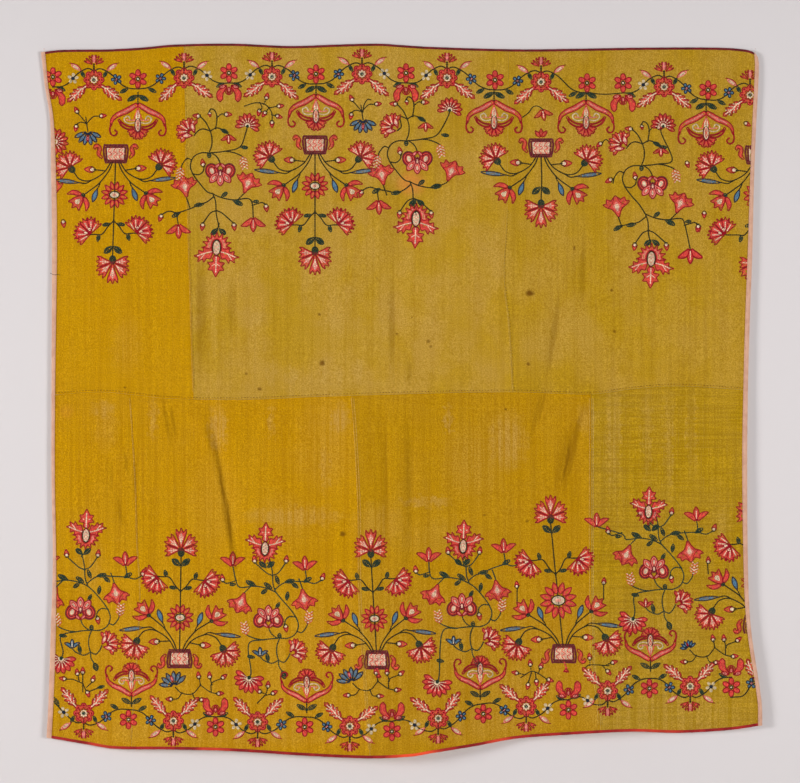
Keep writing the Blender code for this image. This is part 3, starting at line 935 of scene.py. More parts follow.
def lobed(lobes, outer, inner):
    line = []
    for k in range(lobes * 8):
        a = 2 * pi * k / (lobes * 8)
        r = inner + (outer - inner) * abs(cos(lobes * a / 2)) ** 0.6
        line.append((r * sin(a), r * cos(a)))
    return line


def ribbon(points, widths):
    # a band of changing width along a smooth line, rounded at its far end
    line = curveThrough(points)
    at = np.linspace(0, len(widths) - 1, len(line))
    wide = np.interp(at, range(len(widths)), widths) / 2
    p = np.array(line)
    run = np.gradient(p, axis=0)
    run /= np.maximum(np.hypot(run[:, 0], run[:, 1]), 1e-9)[:, None]
    side = np.stack([-run[:, 1], run[:, 0]], -1) * wide[:, None]
    tip = p[-1] + run[-1] * wide[-1]
    return [tuple(q) for q in p + side] + [tuple(tip)] + [tuple(q) for q in (p - side)[::-1]]


red = ("madder", "coral")      # yarns from a shape's edge inwards
fullRed = ("madder", "coral", "coral")
palingRed = ("madder", "coral", "coral", "pink")
rosyRed = ("madder", "coral", "pink")
paleHeart = ("madder", "pink", "cream")
blues = ("navy", "blue")


def beside(spot, x, y, turn, flip=1):
    # a spot placed and turned from another one
    (x, z), = toCloth(spot, [(x, y)])
    return Spot(x, z, spot.turn + turn * spot.flip, spot.size, spot.flip * flip)


def petals(spot, petal, tilts, tones, holes=(), y=0, lift=0.0):
    # one petal fanned about a point
    for tilt in tilts:
        fill(spot, moved(petal, 0, y, tilt), tones, holes, lift)


def ribs(spot, line, width, lift=0.6, tilts=(0,), y=0):
    for tilt in tilts:
        stroke(spot, moved(line, 0, y, tilt), "cream", width, lift)


def leaf(spot, length=30, width=14):
    fill(spot, drop(length * 1.12, width * 1.08, 0.5), ("green",))


def daisy(spot):
    middle = oval(12, 12)
    petals(spot, oval(17.5, 23, 0, 18), range(0, 360, 60), fullRed, [middle])
    fill(spot, middle, ("stem", "cream"))


def blueFlower(spot):
    fill(spot, lobed(5, 17.5, 8), blues, [oval(6, 6)])
    fill(spot, oval(6.6, 6.6), ("pink",))


def whiteFlower(spot):
    petals(spot, oval(9, 12, 0, 11), range(15, 360, 72), ("ashen",))
    fill(spot, oval(11, 11), ("navy",), lift=0.4)


def feather(spot, length=84):
    fill(spot, serrated(length, 41, 5, 0.52, 0.60), palingRed)
    grown = length / 84
    ribs(spot, [(0, 10 * grown), (2, 26 * grown), (-1, 44 * grown), (0, 68 * grown)], 4.4)
    for side in (-1, 1):
        for y, reach in ((20, 9), (35, 10), (50, 8)):
            ribs(spot, sided(side, [(1, y * grown), (reach, (y + 12) * grown)]), 3.4)


def fleur(spot):
    stroke(spot, [(0, -22), (0, 2)], "stem", 6.0)
    middle = moved(drop(28, 9), 0, 6)
    petals(spot, wedge(38, 34, 2, 12), (-58, -20, 20, 58), red, [middle])
    fill(spot, middle, ("pink",))


def pinkBud(spot):
    fill(spot, drop(38, 13, 0.5), ("pink", "cream"))
    stroke(spot, [(0, 0), (6, 10), (6.5, 24), (0, 40)], "madder", 3.2, 0.4)
    leaf(beside(spot, 0, 0, 150), 21, 11)


def cluster(spot, left=45, right=38):
    # round flower on the vine with two feathers below it, a small fleur and two buds above
    for side, lean in ((-1, left), (1, right)):
        feather(beside(spot, side * 18, 14, -side * (90 - lean), side))
        pinkBud(beside(spot, side * 39, -28, -side * 124, side))
    fleur(beside(spot, 0, -44, 180 * spot.flip))
    star = [(r * sin(pi * k / 8), r * cos(pi * k / 8)) for k, r in enumerate((16, 8) * 8)]
    fill(spot, lobed(8, 32, 25), ("madder", "coral", "madder", "pink"), [star])
    fill(spot, star, ("cream",), lift=0.2)
    fill(spot, oval(10, 10), ("green",), lift=0.6)


def bow(spot):
    # two hanging loops and two short petals, worked on the far side of a daisy
    for side in (-1, 1):
        loop = sided(side, [(5, 40), (17, 48), (27, 62), (27, 80)])
        fill(spot, ribbon(loop, [6, 15, 23, 19]), fullRed)
        fill(spot, moved(drop(31, 14, 0.6), 2 * side, 37, -side * 76), paleHeart, lift=0.3)
    bead = moved(drop(22, 11, 0.5), 0, 40)
    fill(spot, oval(26, 26, 0, 54), red, [bead])
    fill(spot, bead, paleHeart, lift=0.2)


def arch(spot):
    # a bracket with curled ends over a crowned seed
    seed = oval(21, 44, 0, 67)
    for side in (1, -1):
        arm = sided(side, [(0, 4), (15, 13), (35, 25), (60, 36), (76, 50), (81, 70)])
        fill(spot, ribbon(arm, [14, 18, 19, 17, 13, 7]), rosyRed)
        curl = sided(side, [(81, 64), (84, 82), (79, 96), (68, 98), (62, 89), (69, 82)])
        stroke(spot, curl, "madder", 6.2, 0.2)
        bar = sided(side, [(58, 50), (46, 66), (30, 75), (12, 76)])
        fill(spot, ribbon(bar, [8, 14, 15, 12]), ("madder", "madder", "coral"), [seed])
        swirl = sided(side, [(12, 60), (24, 62), (37, 57), (40, 46), (29, 40), (24, 48)])
        stroke(spot, swirl, "ashen", 4.6)
        stroke(spot, sided(side, [(11, 52), (20, 53), (31, 51)]), "pink", 5.0)
        stroke(spot, sided(side, [(0, 16), (6, 32), (12, 50)]), "coral", 4.4)
    fill(spot, moved(drop(42, 13, 0.7), 0, 12), ("cream",), lift=0.2)
    stroke(spot, [(0, 24), (0, 42)], "coral", 3.4, 0.7)
    petals(spot, toothedPetal(37, 21, 2), (66, -66, 34, -34, 0), rosyRed, [seed], y=79)
    fill(spot, seed, ("maroon", "cream"))
    for side in (-1, 1):
        wave = sided(side, [(0, 54), (4, 60), (0, 66), (4, 72), (0, 78)])
        stroke(spot, wave, "coral", 2.6, 0.6)
        leaf(beside(spot, 0, -23, -side * 62, spot.flip), 34, 15)
    stroke(spot, [(0, -30), (0, 2)], "stem", 4.4)


def urn(spot, crown=False):
    box = [(-36, -29), (36, -29), (40, -12), (37, 12), (32, 29), (-32, 29), (-37, 12), (-40, -12)]
    inner = [(-26, -17), (26, -17), (24, 17), (-24, 17)]
    fill(spot, box, ("maroon",), [inner])
    fill(spot, inner, ("cream",))
    for x in (-16, 0, 16):
        line = [(x, -16), (x - 6, -8), (x + 4, 0), (x - 6, 8), (x, 16)]
        stroke(spot, line, "coral", 4.2, 0.5)
        stroke(spot, [(x + 7, y) for x, y in line], "pink", 3.0, 0.3)
    for side in (1, -1):
        handle = sided(side, [(65, -14), (58, -24), (49, -16), (51, 0), (42, 12)])
        fill(spot, ribbon(handle, [10, 15, 15, 14, 9]), red)
    if crown:
        petals(spot, drop(30, 14, 0.5), (140, 180, 220), red, y=-30)


def calyxed(spot, tilts, lengths, width, cup):
    # long toothed petals fanned from a green cup
    green = oval(cup[0], cup[1], 0, cup[1] * 0.42)
    start = cup[1] * 0.70
    for tilt, length in zip(tilts, lengths):
        petals(spot, toothedPetal(length, width), [tilt], palingRed, y=start)
        for aside in (-0.13, 0, 0.13):
            line = [(0, length * 0.28), (width * aside, length * (0.66 - abs(aside)))]
            ribs(spot, line, 3.2, 0.5, [tilt], start)
    fill(spot, green, ("green",), lift=0.2)


def carnation(spot):
    calyxed(spot, (82, -82, 42, -42, 0), (51, 51, 55, 55, 57), 34, (21, 26))


def endCarnation(spot):
    calyxed(spot, (94, -94, 48, -48, 0), (54, 54, 62, 62, 70), 40, (21, 28))


def tulip(spot):
    for side in (-1, 1):
        line = sided(side, [(5, 3), (18, 8), (29, 15), (38, 29)])
        fill(spot, ribbon(line, [10, 17, 16, 6]), red)
    half = [(-4, 3), (-15, 18), (-19, 30), (-24, 47), (-8, 41), (0, 55)]
    bell = half + sided(-1, half[-2::-1])
    fill(spot, bell, ("madder", "coral", "coral", "cream"), lift=0.2)
    fill(spot, oval(13, 12), ("green",), lift=0.3)


def bud(spot, length=36):
    width = length * 0.58
    pip = oval(width * 0.50, length * 0.30, 0, length * 0.27)
    fill(spot, drop(length, width, 0.40), red, [pip])
    fill(spot, pip, ("cream",))
    half = [(-width * 0.42, length * 0.26), (-width * 0.2, length * 0.05), (0, -1)]
    stroke(spot, half + sided(-1, half[-2::-1]), "stem", 2.8, 0.3)


def smallBud(spot):
    bud(spot, 27)


def longLeaf(spot):
    fill(spot, drop(84, 15, 0.5), blues)


def shortLeaf(spot):
    fill(spot, drop(48, 17, 0.55), blues)


def bigDaisy(spot):
    middle = oval(32, 24)
    petals(spot, moved(drop(30, 15, 0.45), 0, 13), range(15, 360, 30), fullRed, [middle])
    fill(spot, middle, ("stem", "cream", "cream"))
    fill(spot, oval(12, 8), ("pink",), lift=0.4)


def fan(spot):
    # half-round double fan with a straight base
    for side in (-1, 1):
        for tilt, length in ((76, 56), (47, 63), (18, 62)):
            petals(spot, toothedPetal(length, 35), [side * tilt], palingRed, y=2)
            ribs(spot, [(0, length * 0.30), (0, length * 0.62)], 4.0, 0.5, [side * tilt], 2)
        petals(spot, drop(28, 13, 0.6), [side * 30], ("madder", "cream"), y=2, lift=0.7)


def leafPair(spot):
    petals(spot, drop(36, 19, 0.55), (-50, 50), ("green",))


def openFlower(spot):
    tilts = (75, -75, 38, -38, 0)
    petals(spot, toothedPetal(46, 31, 2), tilts, palingRed, y=18)
    ribs(spot, [(0, 12), (0, 30)], 4.4, 0.5, tilts, 18)
    for side in (-1, 1):
        fill(spot, moved(drop(38, 17, 0.6), side * 2, 1, -side * 38), paleHeart, lift=0.8)


def threePetal(spot, tones=red):
    for side in (-1, 1):
        line = sided(side, [(3, 3), (13, 16), (24, 23), (36, 27)])
        fill(spot, ribbon(line, [9, 19, 17, 6]), tones)
    fill(spot, drop(48, 20, 0.55), tones, lift=0.2)
    ribs(spot, [(0, 12), (0, 30)], 3.8, 0.7)


def smallThree(spot, tones=red):
    threePetal(spot._replace(size=spot.size * 0.66), tones)


def bluePetals(spot):
    smallThree(spot, blues)


def ear(spot):
    for k in range(4):
        y = 2 + 9.0 * k
        reach = 12 - 1.6 * abs(k - 1)
        for side in (-1, 1):
            stroke(spot, [(0, y), (side * reach * 0.6, y + 4), (side * reach, y + 9)], "coral", 3.2)
            ribs(spot, [(0, y + 4), (side * reach * 0.8, y + 9)], 3.6, 0.3)


def pansy(spot):
    ringed = ("maroon", "madder", "coral", "maroon", "coral", "cream")
    for side in (-1, 1):
        fill(spot, moved(oval(42, 48), side * 25, 24, side * 20), ringed)
        fill(spot, moved(drop(26, 12, 0.55), side * 2, 0, side * 50), paleHeart, lift=0.9)
    for tilts, lift in (((38, -38), 0.5), ((0,), 0.9)):
        petals(spot, drop(52, 24, 0.62), tilts, ("madder", "pink", "coral", "cream"), y=20, lift=lift)
    fill(spot, moved(drop(26, 13, 0.6), 0, 16), ("maroon", "cream"), lift=1.2)


def trumpet(spot):
    mouth = [(-4, 0), (-9, 13), (-17, 25), (-33, 33), (-44, 45), (-31, 47), (-29, 60), (-15, 54),
             (0, 68)]
    throat = [(-3, 14), (-7, 27), (-15, 36), (-8, 38), (0, 49)]
    fill(spot, mouth + sided(-1, mouth[-2::-1]), red)
    fill(spot, throat + sided(-1, throat[-2::-1]), ("pink", "cream"), lift=0.5)
    for side in (-1, 1):
        stroke(spot, sided(side, [(24, 34), (12, 44), (6, 56)]), "madder", 3.0, 0.6)


def palmette(spot):
    # a seed between a toothed crown, two side leaves and a three-part tip
    seed = oval(27, 48)
    angles = [radians(74 + 212 * k / 18) for k in range(19)]
    crown = [(r * sin(a), r * cos(a) - 2) for a, r in zip(angles, (32, 50) * 10)]
    fill(spot, crown + [(-8, 6), (8, 6)], ("madder", "coral", "pink", "cream"), [seed])
    leafEdge = [(9, -4), (26, 2), (39, -2), (41, 12), (56, 7), (54, 20), (73, 27), (55, 33),
                (58, 48), (42, 38), (38, 50), (28, 34), (16, 37), (10, 20)]
    for side in (-1, 1):
        fill(spot, sided(side, leafEdge), fullRed, [seed])
        ribs(spot, sided(side, [(16, 13), (32, 17), (55, 26)]), 4.2)
        ribs(spot, sided(side, [(34, 18), (45, 33)]), 3.2)
    half = [(5, 20), (14, 33), (9, 41), (29, 44), (19, 56), (27, 69), (12, 70)]
    fill(spot, half + [(0, 92)] + sided(-1, half[::-1]), fullRed, [seed])
    ribs(spot, [(0, 30), (0, 52), (0, 72)], 4.4)
    for side in (-1, 1):
        ribs(spot, [(0, 48), (side * 10, 54)], 3.2)
    fill(spot, seed, ("stem", "cream", "cream"))
    for y in (-14, -4, 6, 16):
        stroke(spot, [(-6, y), (0, y + 4), (6, y)], "pink", 3.0, 0.5)


def blueTulip(spot):
    petals(spot, drop(54, 17, 0.62), (64, -64, 38, -38, 14, -14), blues, lift=0.2)
    fill(spot, moved(drop(28, 12, 0.55), 0, 12), ("madder", "pink"), lift=0.8)


def halfDaisy(spot):
    tilts = (104, -104, 78, -78, 52, -52, 26, -26, 0)
    petals(spot, drop(42, 15, 0.68), tilts, red, lift=0.2)
    ribs(spot, [(0, 6), (0, 22)], 3.4, 0.6, tilts)
    fill(spot, oval(11, 10, 0, -2), ("green",), lift=0.7)


print("motifs ready")

# A unit has its own u (sideways) and v (away from the near garland), in millimetres.
Unit = namedtuple("Unit", "x z away lean tilt mirror", defaults=[0, 0, 1])


def onCloth(unit, u, v):
    return (unit.x + unit.mirror * u + unit.lean * v, unit.z + unit.away * (v + unit.tilt * u))


def spotOn(unit, u, v, heading=0, size=1):
    # heading 0 looks away from the garland, and 90 looks towards +u
    x, z = onCloth(unit, u, v)
    a = radians(heading)
    turn = degrees(atan2(-unit.mirror * sin(a), unit.away * cos(a)))
    return Spot(x, z, turn, size, unit.mirror * unit.away)


def stem(unit, points, tone="stem", width=crewel["stemWidth"]):
    stroke(flat, [onCloth(unit, u, v) for u, v in points], tone, width)


def grow(unit, *parts, tone="stem"):
    # a list of points is a stem, and a tuple is a motif with its place, heading and size
    for part in parts:
        if isinstance(part, list):
            stem(unit, part, tone)
        elif part[0] is leaf:
            leaf(spotOn(unit, *part[1:4]), *part[4:])
        else:
            part[0](spotOn(unit, *part[1:]))


# the garlands: kind, x and z, then the lean of a cluster's feathers or the place of an arch
topGarland = [
    ("bow", -1041, -96), ("cluster", -918, -105, 40, 36), ("arch", -786, -102, -786, -174),
    ("cluster", -648, -99, 45, 33), ("bow", -513, -84), ("cluster", -384, -96, 34, 41),
    ("arch", -252, -87, -252, -147), ("cluster", -114, -87, 36, 40), ("bow", 18, -84),
    ("cluster", 141, -99, 38, 36), ("arch", 285, -105, 282, -165), ("cluster", 423, -111, 40, 36),
    ("arch", 561, -114, 558, -165), ("bow", 669, -114), ("cluster", 792, -126, 36, 38),
    ("arch", 924, -135, 918, -198), ("cluster", 1050, -150, 38, 36)]
lowGarland = [
    ("cluster", -948, -2004, 52, 46), ("arch", -813, -2022, -804, -1953),
    ("cluster", -678, -2025, 50, 44), ("bow", -552, -2043), ("cluster", -426, -2028, 48, 44),
    ("arch", -285, -2043, -279, -1971), ("cluster", -150, -2040, 44, 34), ("bow", -24, -2055),
    ("cluster", 114, -2016, 36, 54), ("arch", 249, -2004, 240, -1932),
    ("cluster", 378, -1983, 40, 50), ("bow", 504, -1992), ("cluster", 621, -1935, 44, 48),
    ("arch", 747, -1929, 750, -1848), ("cluster", 870, -1923, 40, 46), ("bow", 993, -1926)]
bareVine = (423, 561)          # from this cluster to this arch the vine has no small flower
topSheet, lowSheet = Unit(0, 0, -1), Unit(0, 0, 1)


def vineBetween(cluster, other, away, kind, bare):
    # the vine rises over a cluster, falls past a small flower and runs under a daisy
    (x0, z0), (x1, z1) = cluster, other
    path = ((0.00, -27), (0.15, -33), (0.36, -19), (0.51, 0), (0.65, 18), (0.82, 28), (1.00, 30))
    line = [(x0 + (x1 - x0) * t, z0 + (z1 - z0) * t + away * v) for t, v in path]
    stroke(flat, line, "stem", crewel["stemWidth"])
    side = 1 if x1 > x0 else -1
    if not bare:
        (whiteFlower if kind == "bow" else blueFlower)(Spot(*line[3], 20 * side))
    base = 0.90 if kind == "bow" else 0.78
    unit = Unit(x0 + (x1 - x0) * base, z0 + (z1 - z0) * base, away, mirror=-side)
    grow(unit, (leaf, 0, 28, 62, 26, 12))


def workGarland(rows, sheet):
    away = sheet.away
    for before, (kind, x, z, *more), after in zip([None] + rows, rows, rows[1:] + [None]):
        for near in (before, after):
            if near and kind == "cluster":
                vineBetween((x, z), near[1:3], away, near[0], (x, near[1]) == bareVine)
            elif near and near[0] != "cluster" and near[1] > x:
                middle = ((x + near[1]) / 2, z + 34 * away)
                line = [(x, z + 30 * away), middle, (near[1], near[2] + 30 * away)]
                stroke(flat, line, "stem", 3.9)
        spot = spotOn(sheet, x, away * z)
        if kind == "cluster":
            cluster(spot, *more)
        else:
            daisy(spot)
        if kind == "bow":
            bow(spot)
        elif kind == "arch":
            arch(spotOn(sheet, more[0], away * more[1], 0, 1.0 if away < 0 else 0.93))


workGarland(topGarland, topSheet)
workGarland(lowGarland, lowSheet)
vineBetween((-918, -105), (-1041, -96), -1, "bow", True)
grow(lowSheet, [(-948, -2031), (-975, -2030), (-1008, -2001), (-1030, -1978)],
     (whiteFlower, -1008, -2001), (leaf, -1022, -1984, -30),
     [(993, -1956), (1030, -1950), (1053, -1914), (1062, -1890)], (blueFlower, 1053, -1914))
feather(spotOn(lowSheet, 1062, -1900, -20), 66)

Spray = namedtuple("Spray", "node fan pair cup daisy daisySize")
usualSpray = Spray(201, 240, 276, 306, 123, 1.0)
tallSpray = Spray(237, 282, 360, 390, 159, 1.35)


def urnUnit(unit, spray=usualSpray, crown=False, tail=None, fanU=67):
    # an urn with carnations, tulips and leaves; without a spray it has only a short middle stem
    below = unit.away < 0
    for side in (-1, 1):
        half = unit._replace(mirror=side, tilt=unit.tilt * side)
        grow(half, [(14, 26), (36, 57), (75, 78), (106, 73), (124, 52)],
             (carnation, 124, 50, 138 if below else 150),
             [(70, 77), (88, 86), (107, 83)], (longLeaf, 104, 84, 97),
             [(32, 50), (46, 48), (62, 46)], (bud, 60, 46, 93),
             [(9, 26), (20, 52), (46, 86), (72, 106), (95, 122)], (tulip, 94, 121, 42),
             [(44, 84), (47, 94), (52, 102)], (shortLeaf, 51, 100, 20))
        if spray:
            node, fanV = spray.node, spray.fan
            grow(half, [(0, node), (16, node + 16), (34, fanV), (56, fanV), (fanU + 2, fanV)],
                 (leaf, 10, node + 8, 78, 24, 11), (leaf, 42, fanV - 1, 14, 22, 12),
                 (fan, fanU, fanV, 135 if below else 130, 0.92))
    if spray:
        grow(unit, [(0, 26), (0, (26 + spray.daisy) / 2), (0, spray.daisy), (0, spray.node),
                    (0, spray.cup)],
             (bigDaisy, 0, spray.daisy, 0, spray.daisySize), (leafPair, 0, spray.pair),
             (endCarnation, 0, spray.cup))
    else:
        grow(unit, [(0, 26), (2, 90), (0, 156)], (leafPair, 0, 116), (endCarnation, 0, 156))
    urn(spotOn(unit, 0, 0), crown)
    if tail:
        stem(unit, [(0, -27), tail], "coral", 8.0)
        fill(spotOn(unit, *tail, 180), wedge(20, 80, 3, 7), red)


urnUnit(Unit(-852, -327, -1, -0.03, -0.03))
urnUnit(Unit(-255, -300, -1))
urnUnit(Unit(423, -309, -1, 0, 0.02), spray=None, crown=True)
urnUnit(Unit(1072, -330, -1, -0.02), fanU=92)
urnUnit(Unit(-660, -1839, 1, 0.015, -0.09))
urnUnit(Unit(-69, -1842, 1, -0.06, 0.04), tail=(3, -39))
urnUnit(Unit(490, -1824, 1, -0.10, 0.06), tallSpray, tail=(3, -42))
urnUnit(Unit(1066, -1736, 1, -0.03, 0.03))


def vineRoot(unit, tone, top, nearFlower, spray):
    # the near end of the vine, beside the garland
    grow(unit, [(0, 0), (8, -21), (9, -45), (4, -66)], tone=tone)
    if top:
        u, v = nearFlower
        grow(unit, [(4, -66), (-18, -72), (u + 10, v - 12), (u, v)], (openFlower, u, v, -125),
             tone=tone)
    else:
        grow(unit, [(4, -66), (-12, -72), (-24, -60), (-30, -48)],
             (openFlower, -30, -48, -62, 0.94), tone=tone)
    grow(unit, [(4, -66), (24, -75), (48, -66), (60, -54)], (spray, 59, -56),
         (leaf, 34, -72, 62 if top else 10, 26, 12), tone=tone)
    if top:
        grow(unit, [(4, -66), (-10, -92), (-27, -110)], (smallBud, -25, -110, -95),
             [(20, -74), (24, -105), (18, -126), (6, -132), (0, -122)],
             (smallBud, 1, -124, 10, 0.7),
             [(24, -105), (36, -116), (46, -116)], (smallBud, 45, -116, 88), tone=tone)
    else:
        grow(unit, [(4, -66), (2, -84), (-8, -100)], (leaf, -7, -96, 200, 26, 17), tone=tone)
    grow(unit, (leaf, 0, -3, 5, 18, 13))


def vineUnit(unit, farFan, top=False, crossing=123, farPetal=(133, 204), palm=(23, 284),
             budNear=False, spray=smallThree, nearPetal=(-92, 92), palmSize=1,
             nearFlower=(-43, -54), farCup=105):
    # the wandering vine with its pansy, trumpets and palmette
    tone = "stem" if top else "green"
    fanU, fanV = farFan
    palmU, palmV = palm
    vineRoot(unit, tone, top, nearFlower, spray)
    grow(unit,
         [(0, 0), (-24, 0), (-46, 12), (-56, 38), (-48, 63), (-29, 90), (-6, 116), (12, crossing)],
         [(-48, 63), (-30, 65), (-17, 54), (-15, 38)], (smallBud, -16, 42, 192),
         [(-54, 20), (-66, 17), (-80, 34), (-84, 50)],
         (smallBud, -86, 38, -60) if budNear else (ear, -84, 42, -8),
         [(8, 0), (22, 10), (30, 22), (34, 34)], (pansy, 34, 30),
         [(6, 0), (48, -5), (93, -18), (fanU - 6, fanV + 22), (fanU, fanV)],
         (halfDaisy, fanU, fanV, *((170, 0.95) if top else (165, 1.12))),
         (leaf, fanU * 0.80, -19 if fanV > -95 else fanV + 62, 80, 24, 11),
         [(48, -5), (70, -2), (92, 6), (101, 12)], (ear, 100, 10, 12), tone=tone)
    # from here on v is counted from where the vine crosses over
    away = unit._replace(z=unit.z + unit.away * crossing)
    grow(away, (leaf, -14, 30, -80, 30, 13))
    if not top:
        grow(away, (leaf, 22, 10, 55, 30, 13), (leaf, 2, 22, 20, 28, 12),
             (leaf, -34, 30, -130, 26, 12), (leaf, -20, -26, -10, 26, 12))
        grow(unit, (leaf, 0, 108, 150, 22, 11))
    if nearPetal:
        u, v = nearPetal
        fork = (u - 4, v - 34)
        grow(away, [(12, 10), (-6, 24), (-29, 32), (-58, (32 + fork[1]) / 2), fork],
             (leaf, u + 6, v - 37, -60, 28, 13), [fork, (u - 3, v - 18), (u, v)],
             (threePetal, u, v - 3, 2), [fork, (u - 28, v - 40), (u - 50, v - 30)],
             (smallBud, u - 49, v - 32, -20), tone=tone)
    else:
        grow(away, [(12, 10), (-6, 24), (-29, 30), (-62, 36)], (leaf, -56, 34, -60, 30, 13),
             tone=tone)
    grow(away, [(-58, 38), (-64, 22), (-68, 10)], (trumpet, -67, 10, 190),
         (leaf, 36, 10, 128, 24, 12), tone=tone)
    if farPetal:
        u, v = farPetal[0], farPetal[1] - crossing
        grow(away, [(12, 0), (29, 8), (48, 14), (78, 18), (117, 14), (130, 30), (u, v - 8)],
             (threePetal, u, v - 12), [(131, 34), (144, 30), (160, 26), (170, 32)],
             (smallBud, 170, 30, 10), (leaf, 130, 24, 96, 20, 10), (leaf, 70, 17, 62, 34, 15),
             tone=tone)
    else:
        grow(away, [(12, 0), (29, 8), (48, 14), (78, 18), (92, 12)], (leaf, 72, 17, 100, 34, 15),
             tone=tone)
    grow(away, [(88, 16), (farCup - 5, 4), (farCup + 1, -2)], (trumpet, farCup, -2, 158),
         [(12, 0), (20, 24), (22, 60), (30, 98)], tone=tone)
    for side, u in ((-1, -18), (1, 74)):
        grow(away, [(22, 50), (22 + side * 18, 58), (u, 88)], (smallBud, u, 86, side * 8), tone=tone)
    grow(unit, (leafPair, (22 + palmU) / 2 + 6, palmV - 58, 0, 0.85),
         [(30, crossing + 90), (palmU, palmV - 46)], (palmette, palmU, palmV, -2, palmSize), tone=tone)


vineUnit(Unit(-573, -324, -1), (116, -82), top=True)
vineUnit(Unit(18, -288, -1), (131, -93), top=True, palm=(30, 234), farPetal=None,
         nearPetal=(-82, 56), nearFlower=(-24, -32), farCup=124)
vineUnit(Unit(723, -363, -1), (66, -120), top=True, crossing=144, farPetal=(147, 258),
         palm=(30, 279), budNear=True, nearPetal=None)
vineUnit(Unit(-924, -1755, 1, mirror=-1), (92, -86), crossing=132, palm=(17, 284),
         spray=bluePetals, palmSize=0.9, nearPetal=(-102, 62))
vineUnit(Unit(-360, -1778, 1, mirror=-1), (92, -120), crossing=138, farPetal=(141, 225),
         palm=(44, 268), spray=bluePetals, palmSize=0.9, nearPetal=(-76, 66))
vineUnit(Unit(219, -1743, 1, mirror=-1), (108, -166), crossing=129, palm=(30, 240),
         spray=bluePetals, palmSize=0.9)
vineUnit(Unit(795, -1632, 1, mirror=-1), (98, -90), crossing=135, farPetal=(206, 196),
         palm=(50, 232), palmSize=0.86, nearPetal=(-94, 70))


def sprig(sheet, stems, buds, x=0, z=0):
    # stems and buds of a sprig in the cloth's own millimetres, from x and z
    for line in stems:
        stroke(flat, [(x + across, z + up) for across, up in line], "stem", 3.8)
    for across, up, heading in buds:
        smallBud(spotOn(sheet, x + across, sheet.away * (z + up), heading, 0.92))


# sprigs between the units, first below the top garland
for x, z in ((-936, -258), (-111, -222)):
    sprig(topSheet, [[(0, 0), (-4, 24), (-6, 40)], [(-4, 22), (-22, 44), (-32, 54)],
                     [(-4, 22), (16, 42), (34, 44)], [(-4, 22), (-22, 26), (-36, 18)]],
          [(-30, 52, 205), (34, 44, 95), (-34, 20, -10)], x, z)
    grow(topSheet, (blueTulip, x, -z, 0, 0.86))
sprig(topSheet, [[(-111, -200), (-108, -180), (-98, -164), (-90, -164)]], [])
sprig(topSheet, [[(-81, -9), (-51, 0), (-24, -3), (-9, -15), (0, -33), (0, -54)],
                 [(-36, 0), (-30, -14), (-36, -22)], [(-24, -3), (-18, 11)],
                 [(-9, -15), (6, -12), (16, -9)], [(-9, -15), (-18, -26)], [(0, -36), (12, -38)]],
      [(0, -52, 0), (14, -10, 95), (-36, -18, -15), (-18, 9, 165), (-17, -24, -35),
       (10, -37, 70)], -384, -174)
grow(topSheet, (halfDaisy, -1034, 290, 80))
sprig(topSheet, [[(369, -216), (385, -204), (399, -186), (414, -184), (427, -192)],
                 [(609, -291), (618, -284), (637, -300)]],
      [(606, -292, -50), (858, -348, 20), (912, -498, 0), (894, -540, -10), (1032, -232, 60)])
grow(topSheet, (smallThree, 427, 192, 10, 1.2), (threePetal, 870, 612),
     (trumpet, -1034, 470, 200), (smallBud, -1011, 524, 10))

# and above the bottom garland
sprig(lowSheet, [[(0, -23), (0, 10), (0, 35)], [(0, 0), (-29, 12), (-51, 13)],
                 [(0, 0), (13, -23), (36, -17), (51, -11)], [(-11, 7), (-15, 25)],
                 [(13, -10), (27, 3)]],
      [(0, 27, 0), (-49, 13, -80), (12, -20, 160), (-15, 23, -10), (28, 4, 20)], -951, -1915)
grow(lowSheet, (leaf, -908, -1928, 75, 22, 10))
for x, z, size in ((-675, -1922, 0.9), (-144, -1910, 0.9), (866, -1812, 0.55)):
    grow(lowSheet, (blueTulip, x, z, -18, size))
    sprig(lowSheet, [[(4, -4), (22, -20), (54, -22), (78, 4)], [(22, -20), (10, -36), (-6, -38)],
                     [(54, -22), (62, -38), (76, -40)], [(78, 4), (106, -16), (128, -22)],
                     [(78, 4), (74, 26)], [(110, -14), (112, 10), (142, 24)],
                     [(112, 6), (106, 26)]],
          [(-4, -38, -90), (74, -40, 90), (126, -22, 85), (74, 22, -10), (140, 22, 50),
           (106, 22, -5)], x, z)
sprig(lowSheet, [[(-24, -26), (0, 0), (6, 23)], [(0, 0), (-14, 5)], [(-3, -5), (17, 0)]],
      [(6, 17, 5), (-12, 4, -60), (16, -1, 60)], -402, -1945)
sprig(lowSheet, [[(-30, -18), (0, 0), (21, -6), (48, -24)], [(-18, -10), (-39, -6)],
                 [(0, 0), (-2, 16)], [(21, -6), (27, 10)], [(12, -4), (15, -24)],
                 [(0, -6), (-9, -34)]],
      [(-37, -6, -80), (-2, 14, -5), (26, 7, 20), (46, -22, 110), (15, -22, 175), (-8, -33, 190)],
      393, -1878)
sprig(lowSheet, [[(-15, -9), (0, 0), (54, -3)], [(-2, -1), (-2, 15)], [(42, -3), (60, 5)],
                 [(36, -3), (46, -15)]],
      [(-2, 13, -5), (60, 4, 70), (47, -14, 140)], 570, -1857)
sprig(lowSheet, [[(351, -1677), (351, -1640), (353, -1622)], [(609, -1660), (609, -1625), (609, -1612)],
                 [(924, -1584), (922, -1556)]],
      [(351, -1630, -5), (609, -1618, 5), (924, -1556, 0)])
print("rows worked", len(workedRows))

